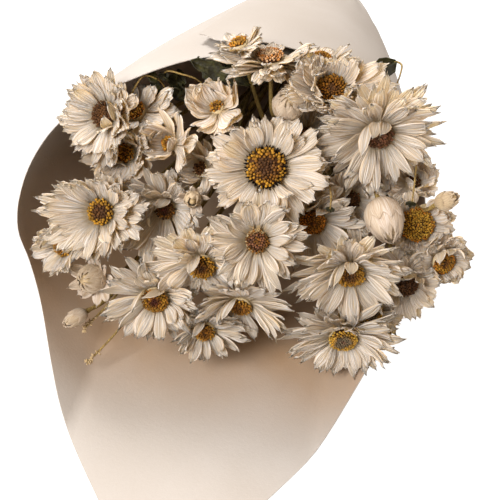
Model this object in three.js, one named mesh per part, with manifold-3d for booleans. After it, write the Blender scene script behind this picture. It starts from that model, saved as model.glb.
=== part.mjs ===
// A bunch of dried white everlasting daisies, lying in a rolled sheet of cream paper.
// Millimetres, +Z up. The heads look along -Y and up, and the tied stems run away along +Y.
import * as THREE from "three";
import { mergeVertices } from "three/addons/utils/BufferGeometryUtils.js";
import Module from "manifold-3d";

const wasm = await Module();
wasm.setup();

// Driving dimensions of the bunch.
const CLEARANCE = 0.35;
const SEAT_GAP = 0.3;
const PAPER = 0.8;
const STEM_RADIUS = 1.3;
const STEM_PITCH = 2.8;
const SPRIG_RADIUS = 0.9;
const SPRIG_BUD = 1.7;
const NECK_Y = 190;
const NECK_Z = 22;
const PRESSED_LENGTH = 14;
const CUT_END_Y = 260;
const CUT_END_SPREAD = 2.1;
const TWINE = 1.8;
const TWINE_TURNS = 3;
const PETAL_THICKNESS = 0.85;
const PETAL_WIDTH = 5.8;
const PETAL_REACH = 1.06;
const PETAL_ROOT = 0.76;
const RECEPTACLE_DEPTH = 5;
const RECEPTACLE_RIM = 1;
const FLORET_RELIEF = 0.35;

// The heads spread over a plane that leans back. A head's place is across and up in that plane,
// as seen from SIGHT in front of it, and its lift is how far it stands out towards there.
const HEADS = new THREE.Vector3(0, -52, 58);
const HEADS_TURN = THREE.MathUtils.degToRad(10);
const HEADS_LEAN = THREE.MathUtils.degToRad(45);
const SIGHT = 350;
const OUTWARD = new THREE.Vector3(
  Math.sin(HEADS_TURN) * Math.cos(HEADS_LEAN),
  -Math.cos(HEADS_TURN) * Math.cos(HEADS_LEAN),
  Math.sin(HEADS_LEAN),
);
const ACROSS = new THREE.Vector3(Math.cos(HEADS_TURN), Math.sin(HEADS_TURN), 0);
const UPWARD = new THREE.Vector3().crossVectors(OUTWARD, ACROSS);

// Open heads. Sizes in mm, as seen: reach is how far the petals reach to the right, up, left and down of
// the disc's middle. Open is the rise from flat, in degrees, that the petals keep near, and curl what
// they rise further by their tips.
const HEAD_WORDS = ["across", "up", "lift", "turn", "nod", "disc", "reach", "open", "curl"];
const headOf = (row) => Object.fromEntries(HEAD_WORDS.map((word, index) => [word, row[index]]));
const DAISIES = [
  [5.9, 30.5, 13, 0, 0, 7.1, [24.4, 17.8, 23.7, 22.9], 20, 8],
  [47.4, 42.9, 9, 0, -0.9, 4.9, [24.8, 15.9, 24.4, 20.7], 15, 8],
  [-55.1, 14.1, 0, -0.25, -0.1, 4.8, [15.9, 12.6, 25.2, 17], 25, 6],
  [37, -8.5, 9, 0, -0.9, 4.8, [22.1, 12.6, 22.2, 17], 15, 8],
  [2.6, 3.3, 16, 0, -0.1, 3.9, [17.8, 18.5, 17.8, 20], 22, 6],
  [-17.8, -5.7, 5, 0.05, -0.75, 4.4, [15, 12.6, 19.2, 10.6], 15, 8],
  [-35.1, -18.1, -4, -0.05, -0.6, 4.8, [16.3, 11.8, 21.1, 17.8], 20, 8],
  [30.1, 59.3, 7, 0, 0.3, 5.3, [23.3, 10.7, 21.1, 9], 25, 8],
  [7.4, 71.2, 9, -0.1, 1.3, 4.8, [18.5, 6, 23.7, 11.5], 0, -4],
  [34.4, -32.6, -8, 0, -0.9, 5.2, [21.5, 11.8, 17.8, 14.4], 15, 6],
  [-31.5, 15.3, -6, 0, -0.5, 3.6, [13.5, 12, 14, 16.5], 30, 8],
  [22.9, 10.7, -4, 0.1, -0.5, 4.8, [19.5, 12, 14, 14], 25, 8],
  [-16.8, -30, -14, 0, -0.6, 3.6, [14.1, 6.3, 13.3, 12.2], 25, 8],
  [-53.7, 50.1, 4, -0.5, 0.1, 4.6, [10.5, 16.6, 18.5, 18.9], 30, 10],
  [-42.4, 51.2, -6, -0.7, 0.8, 3.6, [16.5, 9.6, 6.5, 8.4], 45, 12],
  [61.6, 9.3, -5, 0, 0, 6.2, [14, 12.4, 12.3, 10.3], 30, 6],
  [57.4, -12.6, -9, 0.1, -0.6, 4.4, [14, 12, 10, 15.8], 25, 8],
  [44.4, -22.9, -18, 0.4, -0.4, 4.6, [14.2, 9.4, 9.4, 13], 30, 6],
  [71.4, -4.4, -3, 0.45, -0.5, 4.2, [12.4, 9.8, 11.4, 9.4], 35, 14],
];

// Heads whose disc hardly shows: half-closed cups and flowers seen from the side or from behind.
const CUPS = [
  [-24.8, 40, 4, 0.5, 0.9, 3, [9, 13, 14.3, 12], 55, 24],
  [-12.6, 53.3, 5, -0.7, 0.5, 2.8, [9.6, 11, 13, 12.5], 60, 40],
  [-8.4, 31.6, -6, -0.5, 0.2, 3.2, [9.4, 13.6, 14, 13], 40, 10],
  [-3.7, -21.1, -5, -0.3, -1.2, 4.2, [14.4, 11.4, 19.6, 10.3], 10, 8],
  [-45.9, 35.9, -6, -0.2, -0.2, 3.2, [12.9, 9, 18.5, 12.7], 40, 10],
  [26.6, 71.2, 3, 0.1, 1.1, 3.6, [11.6, 6, 11.6, 8], 20, 6],
  [21.5, 41.8, -6, 0.2, 0.2, 3.4, [12.4, 12.4, 12.4, 12.4], 45, 12],
  [-69.6, 1.1, -14, -0.5, -0.3, 3.6, [14, 9.4, 13, 11.3], 25, 8],
  [37.7, 18.5, -10, 0.3, -0.2, 3.2, [12, 11, 12.5, 11], 45, 14],
  [-4.4, 77, 8, -0.5, 1.2, 3.2, [9, 5.4, 12.8, 7], 10, 0],
  [60.5, 25.5, -12, 0.3, 0.3, 3.2, [9, 9, 10, 9], 45, 12],
];

// Closed buds and dry pods: egg shapes with a pointed tip.
const BUDS = [
  { name: "bud_round", across: 14, up: 51, lift: 8, turn: 0, nod: 0.3, width: 12, length: 13 },
  { name: "bud_hanging", across: 51, up: 12, lift: 4, turn: 0.4, nod: -1.2, width: 12, length: 17 },
  { name: "bud_rosette", across: -56, up: -10, lift: -14, turn: -0.4, nod: -0.1, width: 11, length: 12 },
  { name: "bud_almond", across: -61, up: -23, lift: -20, turn: -0.9, nod: -0.6, width: 6.5, length: 11 },
  { name: "pod_cream", across: -21, up: 20, lift: 8, turn: 0, nod: -0.4, width: 6, length: 8 },
  { name: "pod_brown_spot", across: 73, up: 18, lift: 2, turn: 1.0, nod: -0.4, width: 6.5, length: 10 },
];

// Each random draw comes from this seeded sequence, so the bunch is always the same.
function seededDraw(seed) {
  let state = seed;
  return (low, high) => {
    state = (state + 0x6d2b79f5) | 0;
    let mixed = Math.imul(state ^ (state >>> 15), 1 | state);
    mixed = (mixed + Math.imul(mixed ^ (mixed >>> 7), 61 | mixed)) ^ mixed;
    return low + ((high - low) * ((mixed ^ (mixed >>> 14)) >>> 0)) / 4294967296;
  };
}
const draw = seededDraw(41);

// Solids and meshes.
function movedPoints(geometry, move) {
  const place = geometry.attributes.position;
  const point = new THREE.Vector3();
  for (let i = 0; i < place.count; i++) {
    point.fromBufferAttribute(place, i);
    move(point);
    place.setXYZ(i, point.x, point.y, point.z);
  }
  return geometry;
}

function solidOf(geometry) {
  const bare = geometry.clone();
  bare.deleteAttribute("normal");
  bare.deleteAttribute("uv");
  const merged = mergeVertices(bare, 1e-3);
  const corners = merged.index.array;
  const kept = [];
  for (let i = 0; i < corners.length; i += 3) {
    const [a, b, c] = [corners[i], corners[i + 1], corners[i + 2]];
    if (a !== b && b !== c && c !== a) kept.push(a, b, c);
  }
  return new wasm.Manifold(
    new wasm.Mesh({
      numProp: 3,
      vertProperties: merged.attributes.position.array,
      triVerts: new Uint32Array(kept),
    }),
  );
}

function fused(solids) {
  const whole = solids.reduce((sum, solid) => sum.add(solid));
  const bodies = whole.decompose();
  return bodies.reduce((best, body) => (body.volume() > best.volume() ? body : best));
}

function geometryOf(solid) {
  const mesh = solid.getMesh();
  const places = new Float32Array(mesh.numVert * 3);
  for (let i = 0; i < mesh.numVert; i++) {
    places.set(mesh.vertProperties.subarray(i * mesh.numProp, i * mesh.numProp + 3), i * 3);
  }
  const geometry = new THREE.BufferGeometry();
  geometry.setAttribute("position", new THREE.BufferAttribute(places, 3));
  geometry.setIndex(new THREE.BufferAttribute(mesh.triVerts, 1));
  geometry.computeVertexNormals();
  return geometry;
}

const bunch = new THREE.Group();

function addNode(name, solid, color, roughness) {
  const material = new THREE.MeshStandardMaterial({ color, roughness, metalness: 0 });
  const mesh = new THREE.Mesh(geometryOf(solid), material);
  mesh.name = name;
  bunch.add(mesh);
}

// What is placed already, so that what comes later bends clear of it.
const placed = [];

function place(owner, solid) {
  const box = solid.boundingBox();
  placed.push({ owner, solid, min: box.min, max: box.max });
}

function isClear(solid, owner) {
  const { min, max } = solid.boundingBox();
  return placed.every((other) => {
    if (other.owner === owner) return true;
    const apart = [0, 1, 2].some(
      (axis) => min[axis] - other.max[axis] > CLEARANCE || other.min[axis] - max[axis] > CLEARANCE,
    );
    return apart || solid.minGap(other.solid, 2 * CLEARANCE) >= CLEARANCE;
  });
}

// A value that runs smoothly through keyed ones: keys is a list of [position, value].
function through(keys, position) {
  if (position <= keys[0][0]) return keys[0][1];
  for (let i = 1; i < keys.length; i++) {
    const [from, low] = keys[i - 1];
    const [to, high] = keys[i];
    if (position <= to) {
      const before = keys[Math.max(i - 2, 0)];
      const after = keys[Math.min(i + 1, keys.length - 1)];
      const level = low === high;
      const slopeLow = level || before[1] === low ? 0 : (high - before[1]) / (to - before[0]);
      const slopeHigh = level || after[1] === high ? 0 : (after[1] - low) / (after[0] - from);
      const step = to - from;
      const t = (position - from) / step;
      const t2 = t * t;
      const t3 = t2 * t;
      return (
        (2 * t3 - 3 * t2 + 1) * low +
        (t3 - 2 * t2 + t) * step * slopeLow +
        (3 * t2 - 2 * t3) * high +
        (t3 - t2) * step * slopeHigh
      );
    }
  }
  return keys[keys.length - 1][1];
}

const easeBetween = (low, high, value) => THREE.MathUtils.smoothstep(value, low, high);

// The paper wrap: one sheet rolled to a cone that lies on the surface. Its corner runs forward under
// the heads as a tongue, and its other side folds over the top. Places along the cone are in y.
const PAPER_END = 214;
const HALF_WIDTH = [[-50, 80], [0, 72], [94, 49], [160, 27], [182, 12.5], [198, 12.5], [PAPER_END, 16]];
const CENTRE_X = [[-50, -14], [0, -12], [94, -6], [165, -2], [182, 0], [PAPER_END, 0]];
const CENTRE_Z = [[-50, 57], [0, 55], [94, 41], [160, 27], [182, NECK_Z], [PAPER_END, NECK_Z]];
const HALF_TOP = [[-50, 57], [0, 55], [94, 38], [160, 25], [182, 12.5], [198, 12.5], [PAPER_END, 16]];
const HALF_BOTTOM = [[-50, 69], [0, 66], [94, 49], [160, 27], [182, 12.5], [198, 12.5], [PAPER_END, 16]];
// The mouth's edge, by the angle round the cone from its underside, the right side positive.
const MOUTH = [
  [-205, 4], [-168, -5], [-143, -20], [-113, -27], [-97, -37], [-84, -47], [-71, -51], [-59, -63],
  [-42, -94], [-24, -124], [-8, -150], [0, -154], [8, -149], [23, -121], [36, -97], [47, -73], [58, -52],
  [65, -42], [90, -16], [120, -2], [150, 5], [175, 4], [188, 3], [196, 12],
];
const SHEET_START = -205;
const SHEET_END = 196;
const LAYER_OFFSET = 1.0;

// Rows across the sheet: fixed ones round the gathered neck, then even steps out to the mouth's edge.
const NECK_ROWS = [PAPER_END, 200, 182, 165, 130];
const MOUTH_ROWS = 4;

function rowY(row, angle) {
  const last = NECK_ROWS.length - 1;
  if (row <= last) {
    const before = Math.min(Math.floor(row), last - 1);
    return THREE.MathUtils.lerp(NECK_ROWS[before], NECK_ROWS[before + 1], row - before);
  }
  return THREE.MathUtils.lerp(NECK_ROWS[last], through(MOUTH, angle), (row - last) / MOUTH_ROWS);
}

function paperPoint(angle, row, target) {
  const y = rowY(row, angle);
  const turn = THREE.MathUtils.degToRad(angle);
  const outer = easeBetween(95, 150, angle) - easeBetween(95, 150, -angle);
  const lift = outer * LAYER_OFFSET * (1 + 0.15 * row);
  const halfHeight = Math.cos(turn) > 0 ? through(HALF_BOTTOM, y) : through(HALF_TOP, y);
  const x = through(CENTRE_X, y) + (through(HALF_WIDTH, y) + lift) * Math.sin(turn);
  const z = through(CENTRE_Z, y) - (halfHeight + lift) * Math.cos(turn);
  return target.set(x, y, Math.max(z, PAPER / 2));
}

function paperWrap() {
  const round = 32;
  const rows = NECK_ROWS.length - 1 + MOUTH_ROWS;
  const sheet = new THREE.BoxGeometry(1, 1, 1, round, rows, 1);
  const corners = sheet.index.array;
  const back = sheet.groups[5];
  // The back face's squares are split along the same diagonals as the front's.
  for (let i = back.start; i < back.start + back.count; i += 6) {
    const [a, b, d, , c] = corners.slice(i, i + 6);
    corners.set([a, b, c, a, c, d], i);
  }
  const here = new THREE.Vector3();
  const beside = new THREE.Vector3();
  const ahead = new THREE.Vector3();
  movedPoints(sheet, (point) => {
    const angle = THREE.MathUtils.lerp(SHEET_START, SHEET_END, point.x + 0.5);
    const row = (point.y + 0.5) * rows;
    const side = point.z * PAPER;
    paperPoint(angle, row, here);
    paperPoint(angle + 0.2, row, beside).sub(here);
    paperPoint(angle, row + 0.02, ahead).sub(here);
    const normal = beside.cross(ahead).normalize();
    point.copy(here).addScaledVector(normal, side);
  });
  return solidOf(sheet);
}

// The twine round the paper's neck: turns that lie side by side.
function twineTie() {
  const inner = through(HALF_WIDTH, NECK_Y) + LAYER_OFFSET * 1.4 + PAPER / 2 + SEAT_GAP;
  const radius = TWINE / 2;
  const profile = [];
  const steps = 3;
  const half = (TWINE_TURNS * TWINE) / 2;
  profile.push(new THREE.Vector2(inner, -half));
  for (let turn = 0; turn < TWINE_TURNS; turn++) {
    const middle = -half + radius + turn * TWINE;
    for (let i = turn ? 1 : 0; i <= steps; i++) {
      const angle = -Math.PI / 2 + (Math.PI * i) / steps;
      const out = inner + radius + radius * Math.cos(angle);
      profile.push(new THREE.Vector2(out, middle + radius * Math.sin(angle)));
    }
  }
  profile.push(new THREE.Vector2(inner, half));
  profile.push(profile[0].clone());
  const ring = new THREE.LatheGeometry(profile, 18);
  ring.translate(0, NECK_Y, 0).translate(0, 0, NECK_Z);
  return solidOf(ring);
}

// A head's own frame: +Y out of its face, X to the right and -Z towards its upper side.
function headFrame(head) {
  const facing = OUTWARD.clone().addScaledVector(ACROSS, head.turn).addScaledVector(UPWARD, head.nod);
  facing.normalize();
  const top = UPWARD.clone().addScaledVector(facing, -UPWARD.dot(facing)).normalize();
  const right = new THREE.Vector3().crossVectors(top, facing);
  const scale = (SIGHT - head.lift) / SIGHT;
  const centre = HEADS.clone()
    .addScaledVector(ACROSS, head.across * scale)
    .addScaledVector(UPWARD, head.up * scale)
    .addScaledVector(OUTWARD, head.lift);
  const frame = new THREE.Matrix4().makeBasis(right, facing, top.clone().negate());
  frame.setPosition(centre);
  return { frame, facing, centre, scale };
}

// A thin blade from a three-sided unit cylinder. line gives the centre, the sideways and the upper
// direction at s, and width the full width there.
function blade(steps, thickness, width, line) {
  const solid = new THREE.CylinderGeometry(0, 1, 1, 3, steps);
  return movedPoints(solid, (point) => {
    const s = point.y + 0.5;
    const { centre, side, upper } = line(s);
    const out = Math.hypot(point.x, point.z) > 1e-6 ? 1 : 0;
    const angle = Math.atan2(point.x, point.z);
    const across = out * (Math.sin(angle) / Math.sin(Math.PI / 3)) * 0.5 * width(s);
    const keel = out * ((Math.cos(angle) + 0.5) / 1.5) * thickness * (1 - 0.35 * s);
    point.copy(centre).addScaledVector(side, across).addScaledVector(upper, -keel);
  });
}

const petalWidth = (s) => through([[0, 0.34], [0.55, 1], [1, 0.1]], s);

// A petal in its head's frame, from the rim of the receptacle.
function petal({ round, rise, curl, length, width, rootRadius, rootDrop, lean }) {
  const out = new THREE.Vector3(Math.cos(round), 0, -Math.sin(round));
  const up = new THREE.Vector3(0, 1, 0);
  const side = new THREE.Vector3().crossVectors(up, out);
  const root = out.clone().multiplyScalar(rootRadius).addScaledVector(up, -rootDrop);
  const bend = THREE.MathUtils.degToRad(curl);
  const start = THREE.MathUtils.degToRad(rise);
  const line = (s) => {
    const middle = start + bend * s * 0.5;
    const reach = length * s;
    const centre = root.clone();
    centre.addScaledVector(out, reach * Math.cos(middle));
    centre.addScaledVector(up, reach * Math.sin(middle));
    centre.addScaledVector(side, lean * reach * s);
    const angle = start + bend * s;
    const upper = up.clone().multiplyScalar(Math.cos(angle)).addScaledVector(out, -Math.sin(angle));
    return { centre, side, upper };
  };
  return blade(2, PETAL_THICKNESS, (s) => width * petalWidth(s), line);
}

// The green-brown cup under the petals, and the stub of the stem below it.
const receptacleRadius = (head) => head.disc + RECEPTACLE_RIM;

function receptacle(head) {
  const radius = receptacleRadius(head);
  const profile = [
    new THREE.Vector2(0, -RECEPTACLE_DEPTH),
    new THREE.Vector2(STEM_RADIUS * 1.1, -RECEPTACLE_DEPTH),
    new THREE.Vector2(radius * 0.86, -RECEPTACLE_DEPTH * 0.55),
    new THREE.Vector2(radius, 0),
    new THREE.Vector2(0, 0),
  ];
  return new THREE.LatheGeometry(profile, 8);
}

// A disc of florets: a low dome whose points stand in and out by turns.
function floretDisc(radius, bottom) {
  const height = radius * 0.5;
  const rings = [[0.95, 0], [1, 0.3], [0.6, 0.85]];
  const profile = [new THREE.Vector2(0, bottom)];
  for (const [out, high] of rings) profile.push(new THREE.Vector2(radius * out, bottom + height * high));
  profile.push(new THREE.Vector2(0, bottom + height));
  const sides = 10;
  const dome = new THREE.LatheGeometry(profile, sides);
  return movedPoints(dome, (point) => {
    const out = Math.hypot(point.x, point.z);
    if (out < 1e-3 || point.y < bottom + 0.05) return;
    const ring = out > 0.8 * radius ? 1 : 0;
    const angle = Math.atan2(point.z, point.x);
    const wave = Math.cos((angle * sides) / 2 + ring * Math.PI);
    point.y += FLORET_RELIEF * wave;
  });
}

// An egg-shaped bud with ridges, on its stem at the origin, pointing along +Y.
function bud({ width, length }) {
  const egg = new THREE.SphereGeometry(1, 8, 5);
  return movedPoints(egg, (point) => {
    const s = (point.y + 1) / 2;
    const slim = 1 - 0.35 * s * s;
    const angle = Math.atan2(point.z, point.x);
    const ridge = 1 + 0.07 * Math.cos(angle * 4);
    point.x *= width * 0.5 * slim * ridge;
    point.z *= width * 0.5 * slim * ridge;
    point.y = length * s;
  });
}

// Stems: a three-sided sweep through stations counted in the curve's own six points.
const STEM_STATIONS = [0, 0.6, 1.2, 2, 3.5, 5];
const STEM_SIDES = 3;

function sweptStem(curve, radius) {
  const rod = new THREE.CylinderGeometry(1, 1, 1, STEM_SIDES, STEM_STATIONS.length - 1);
  const sideways = new THREE.Vector3(1, 0, 0);
  return movedPoints(rod, (point) => {
    const index = Math.round((point.y + 0.5) * (STEM_STATIONS.length - 1));
    const station = STEM_STATIONS[index] / 5;
    const centre = curve.getPoint(station);
    const tangent = curve.getTangent(station);
    const first = sideways.clone().addScaledVector(tangent, -sideways.dot(tangent)).normalize();
    const second = new THREE.Vector3().crossVectors(first, tangent);
    const [x, z] = [point.x, point.z];
    point.copy(centre).addScaledVector(first, x * radius).addScaledVector(second, z * radius);
  });
}

// Places for the stems in the tied neck, packed in sixes.
function neckSlots(count) {
  const slots = [];
  for (let row = -4; row <= 4; row++) {
    for (let column = -4; column <= 4; column++) {
      const x = STEM_PITCH * (column + row / 2);
      const z = STEM_PITCH * row * Math.sin(Math.PI / 3);
      slots.push({ x, z, out: Math.hypot(x, z), endY: CUT_END_Y + draw(-5, 5) });
    }
  }
  slots.sort((a, b) => a.out - b.out);
  return slots.slice(0, count);
}

// Where a stem's neck place lies at the tie's near and far side, and where its cut end lies.
function neckPoints(slot) {
  const near = new THREE.Vector3(slot.x, NECK_Y - 8, NECK_Z + slot.z);
  const far = near.clone().setY(NECK_Y + 8);
  const end = new THREE.Vector3(slot.x * CUT_END_SPREAD, slot.endY, NECK_Z - 2 + slot.z * CUT_END_SPREAD);
  return [near, far, end];
}

// Under the tie the stems are pressed into one another.
function pressedStems(slots) {
  const radius = Math.max(...slots.map((slot) => slot.out)) + 0.4;
  const core = new THREE.CylinderGeometry(radius, radius, PRESSED_LENGTH, 12, 1);
  return solidOf(core.translate(0, NECK_Y, NECK_Z));
}

// A stem leaves its head straight, bends in towards the middle of the cone and runs to the neck.
const INWARD = 0.85;
const FAN_Z = NECK_Z + 14;

function stemCurve(base, away, slot, straight, swing) {
  const leaves = base.clone().addScaledVector(away, straight);
  const [near, far, end] = neckPoints(slot);
  const fan = leaves.clone().lerp(near, 0.4);
  fan.x = fan.x * INWARD + swing.x;
  fan.z = FAN_Z + (fan.z - FAN_Z) * INWARD + swing.z;
  return new THREE.CatmullRomCurve3([base.clone(), leaves, fan, near, far, end], false, "centripetal");
}

const numbered = (word, index) => word + String(index + 1).padStart(2, "0");

// The heads with their frames: each has a body that its stem carries, seen or hidden.
const heads = [
  ...DAISIES.map((row, index) => ({ ...headOf(row), kind: "daisy", name: numbered("daisy_", index) })),
  ...CUPS.map((row, index) => ({ ...headOf(row), kind: "cup", name: numbered("cup_", index) })),
  ...BUDS.map((head) => ({ ...head, kind: "bud" })),
].map((head) => ({ ...head, ...headFrame(head) }));

const inFrame = (geometry, head) => solidOf(geometry.applyMatrix4(head.frame));

// The sprigs are the two thin stalks of one forked stem. They have tiny dry buds and lie low on the left.
const SPRIGS = [
  { tip: new THREE.Vector3(-61, -77, 9), knee: new THREE.Vector3(-50, -62, 17) },
  { tip: new THREE.Vector3(-63, -70, 21), knee: new THREE.Vector3(-54, -52, 24) },
];

// The dark leaves near the upper heads: the stems one may grow from, and where its tip goes.
const LEAVES = [
  { name: "leaf_right", on: ["daisy_08"], across: 54, up: 70, lift: 4, width: 11 },
  { name: "leaf_left", on: ["cup_10", "cup_02", "cup_03"], across: -22, up: 71, lift: 6, width: 8 },
];

const wrap = paperWrap();
place("paper_wrap", wrap);
for (const head of heads) {
  if (head.kind === "bud") {
    head.body = inFrame(bud(head), head);
    head.base = head.centre.clone();
  } else {
    head.cup = inFrame(receptacle(head), head);
    const bottom = head.kind === "daisy" ? SEAT_GAP : -1;
    head.florets = inFrame(floretDisc(head.disc, bottom), head);
    head.base = head.centre.clone().addScaledVector(head.facing, -RECEPTACLE_DEPTH);
    head.body = head.kind === "daisy" ? head.cup : fused([head.cup, head.florets]);
    if (head.kind === "daisy") place(head.name + "_disc", head.florets);
  }
  if (!isClear(head.body, head.name + "_disc")) throw new Error(head.name + " touches a neighbour");
  place(head.name, head.body);
}

// Every stem takes the neck place that suits where its head stands, the outermost heads first.
const SPREAD_MIDDLE = { x: -10, z: 60 };
const SPREAD_HALF = { x: 85, z: 70 };

function stemSlots(ends) {
  const free = neckSlots(ends.length);
  const widest = free[free.length - 1].out;
  const wanted = ends.map((end, index) => {
    const x = (widest * (end.x - SPREAD_MIDDLE.x)) / SPREAD_HALF.x;
    const z = (widest * (end.z - SPREAD_MIDDLE.z)) / SPREAD_HALF.z;
    return { index, x, z, out: Math.hypot(x, z) };
  });
  wanted.sort((a, b) => b.out - a.out);
  const slots = [];
  for (const want of wanted) {
    const away = (slot) => Math.hypot(slot.x - want.x, slot.z - want.z);
    const best = free.reduce((near, slot) => (away(slot) < away(near) ? slot : near));
    free.splice(free.indexOf(best), 1);
    slots[want.index] = best;
  }
  return slots;
}

// A stem bends clear of the other heads, and of the other stems where there is a way.
const SWINGS = [
  [0, 0], [5, 0], [-5, 0], [0, 5], [0, -5], [9, 4], [-9, 4], [9, -4], [-9, -4], [0, 10], [0, -10],
];
const STRAIGHTS = [18, 12, 26, 34, 8];

function headStem(head, slot, others) {
  const away = head.facing.clone().negate();
  const base = head.base.clone().addScaledVector(away, SEAT_GAP);
  let crossing = null;
  for (const straight of STRAIGHTS) {
    for (const [x, z] of SWINGS) {
      const curve = stemCurve(base, away, slot, straight, { x, z });
      const solid = solidOf(sweptStem(curve, STEM_RADIUS));
      if (!isClear(solid, head.name)) continue;
      if (others.every((other) => other.minGap(solid, 2 * CLEARANCE) >= CLEARANCE)) return { curve, solid };
      crossing ??= { curve, solid };
    }
  }
  if (!crossing) throw new Error("no clear way for the stem of " + head.name);
  return crossing;
}

function sprigSolids(sprig, slot) {
  const [near, far, end] = neckPoints(slot);
  const fan = sprig.knee.clone().lerp(near, 0.45);
  const points = [sprig.tip, sprig.knee, fan, near, far, end];
  const curve = new THREE.CatmullRomCurve3(points, false, "centripetal");
  const grains = [0, 0.012, 0.03].map((station) => {
    const at = curve.getPointAt(station);
    const grain = new THREE.IcosahedronGeometry(SPRIG_BUD, 0);
    return solidOf(grain.translate(at.x + draw(-0.8, 0.8), at.y + draw(-0.8, 0.8), at.z + draw(0, 0.8)));
  });
  return [solidOf(sweptStem(curve, SPRIG_RADIUS)), ...grains];
}

const slots = stemSlots([...heads.map((head) => head.base), SPRIGS[0].tip]);
const stems = [];
heads.forEach((head, index) => {
  const { curve, solid } = headStem(head, slots[index], stems);
  head.curve = curve;
  stems.push(solid);
});
for (const sprig of SPRIGS) stems.push(...sprigSolids(sprig, slots[heads.length]));
stems.push(pressedStems(slots));
const stemBody = fused(stems);
place("stems", stemBody);

// Leaves, each seated on a stem and swung clear of what is round it.
const LEAF_SEAT = STEM_RADIUS + CLEARANCE + 0.3;
const LEAF_STATIONS = [0.08, 0.14, 0.2, 0.26, 0.32];
const LEAF_SWINGS = [0, 4, -4, 8, -8].flatMap((across) => [0, 4, -4, 8].map((lift) => [across, lift]));
const leafWidth = (s) => through([[0, 0.15], [0.3, 0.75], [0.65, 1], [1, 0.2]], s);

function leafBlade(seat, tip, width) {
  const way = tip.clone().sub(seat);
  const length = way.length() - LEAF_SEAT;
  way.normalize();
  const side = new THREE.Vector3().crossVectors(OUTWARD, way).normalize();
  const upper = new THREE.Vector3().crossVectors(way, side);
  const root = seat.clone().addScaledVector(way, LEAF_SEAT);
  const line = (s) => ({ centre: root.clone().addScaledVector(way, length * s), side, upper });
  return solidOf(blade(4, 1, (s) => width * leafWidth(s), line));
}

function seatedLeaf(leaf) {
  const { centre } = headFrame({ ...leaf, turn: 0, nod: 0 });
  for (const owner of heads.filter((head) => leaf.on.includes(head.name))) {
    for (const station of LEAF_STATIONS) {
      for (const [across, lift] of LEAF_SWINGS) {
        const tip = centre.clone().addScaledVector(ACROSS, across).addScaledVector(OUTWARD, lift);
        const solid = leafBlade(owner.curve.getPoint(station), tip, leaf.width);
        if (isClear(solid, "")) return solid;
      }
    }
  }
  throw new Error(leaf.name + " finds no clear place");
}

for (const leaf of LEAVES) {
  leaf.solid = seatedLeaf(leaf);
  place(leaf.name, leaf.solid);
}

// Petals: each tries its own rise first, then steps to either side of it, then grows shorter. One that
// finds no room is left out.
const RISE_STEPS = [0, 10, -10, 20, -20, 32, -32, 46, -46, 60];
const LENGTHS = [1, 0.85, 0.7];
const STEEPEST = 86;
const LOWEST = -55;

function clearPetal(head, owner, shape) {
  for (const part of LENGTHS) {
    for (const step of RISE_STEPS) {
      const rise = shape.rise + step;
      if (rise > STEEPEST || rise < LOWEST) continue;
      const solid = inFrame(petal({ ...shape, rise, length: shape.length * part }), head);
      if (isClear(solid, owner)) return solid;
    }
  }
  return null;
}

// How far the petals reach as seen, towards where this direction points in the picture.
function reachAt(head, out) {
  const angle = Math.atan2(out.dot(UPWARD), out.dot(ACROSS));
  const [right, up, left, down] = head.reach;
  const beside = Math.cos(angle) / (Math.cos(angle) > 0 ? right : left);
  const above = Math.sin(angle) / (Math.sin(angle) > 0 ? up : down);
  return head.scale / Math.hypot(beside, above);
}

// The rise from the head's flat, in degrees, that brings a petal to its reach as seen.
function riseFor(head, round, length, root) {
  const local = new THREE.Vector3(Math.cos(round), 0, -Math.sin(round));
  const out = local.transformDirection(head.frame);
  const seenRoot = root * Math.hypot(out.dot(ACROSS), out.dot(UPWARD));
  const share = THREE.MathUtils.clamp((reachAt(head, out) - seenRoot) / length, 0.05, 1);
  const towards = out.dot(OUTWARD);
  const ahead = head.facing.dot(OUTWARD);
  const tilted = Math.atan2(towards, ahead);
  const leaning = Math.asin(Math.min(Math.sin(Math.acos(share)) / Math.hypot(towards, ahead), 1));
  const rises = [1, -1].map((way) => THREE.MathUtils.radToDeg(way * leaning - tilted));
  rises.sort((a, b) => Math.abs(a - head.open) - Math.abs(b - head.open));
  return THREE.MathUtils.clamp(rises[0], -30, 80);
}

function petalRings(head) {
  const farthest = Math.max(...head.reach) * head.scale;
  const outer = Math.round(THREE.MathUtils.clamp(farthest / 3.1, 5, head.kind === "daisy" ? 7 : 5));
  const inner = head.kind === "daisy" ? outer - 2 : outer - 3;
  const length = farthest * PETAL_REACH - receptacleRadius(head) * PETAL_ROOT;
  return [
    { count: outer, rise: 0, length, rootDrop: 2.2 },
    { count: inner, rise: 12, length: length * 0.86, rootDrop: 0.5 },
  ];
}

function petalsOf(head) {
  const petals = [];
  for (const ring of petalRings(head)) {
    const phase = draw(0, 1);
    for (let i = 0; i < ring.count; i++) {
      const round = ((i + phase + draw(-0.12, 0.12)) / ring.count) * 2 * Math.PI;
      const rootRadius = receptacleRadius(head) * PETAL_ROOT;
      const curl = head.curl + draw(-6, 6);
      const rise = riseFor(head, round, ring.length, rootRadius);
      const shape = {
        round,
        rise: rise - curl / 2 + ring.rise + draw(-5, 5),
        curl,
        length: ring.length * draw(0.92, 1.04),
        width: PETAL_WIDTH * (0.75 + Math.max(...head.reach) / 80) * draw(0.9, 1.1),
        rootRadius,
        rootDrop: ring.rootDrop,
        lean: draw(-0.05, 0.05),
      };
      petals.push(clearPetal(head, head.name, shape));
    }
  }
  return petals.filter((solid) => solid !== null);
}

for (const head of heads) {
  if (head.kind === "bud") continue;
  head.whole = fused([head.body, ...petalsOf(head)]);
  place(head.name, head.whole);
}

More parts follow.
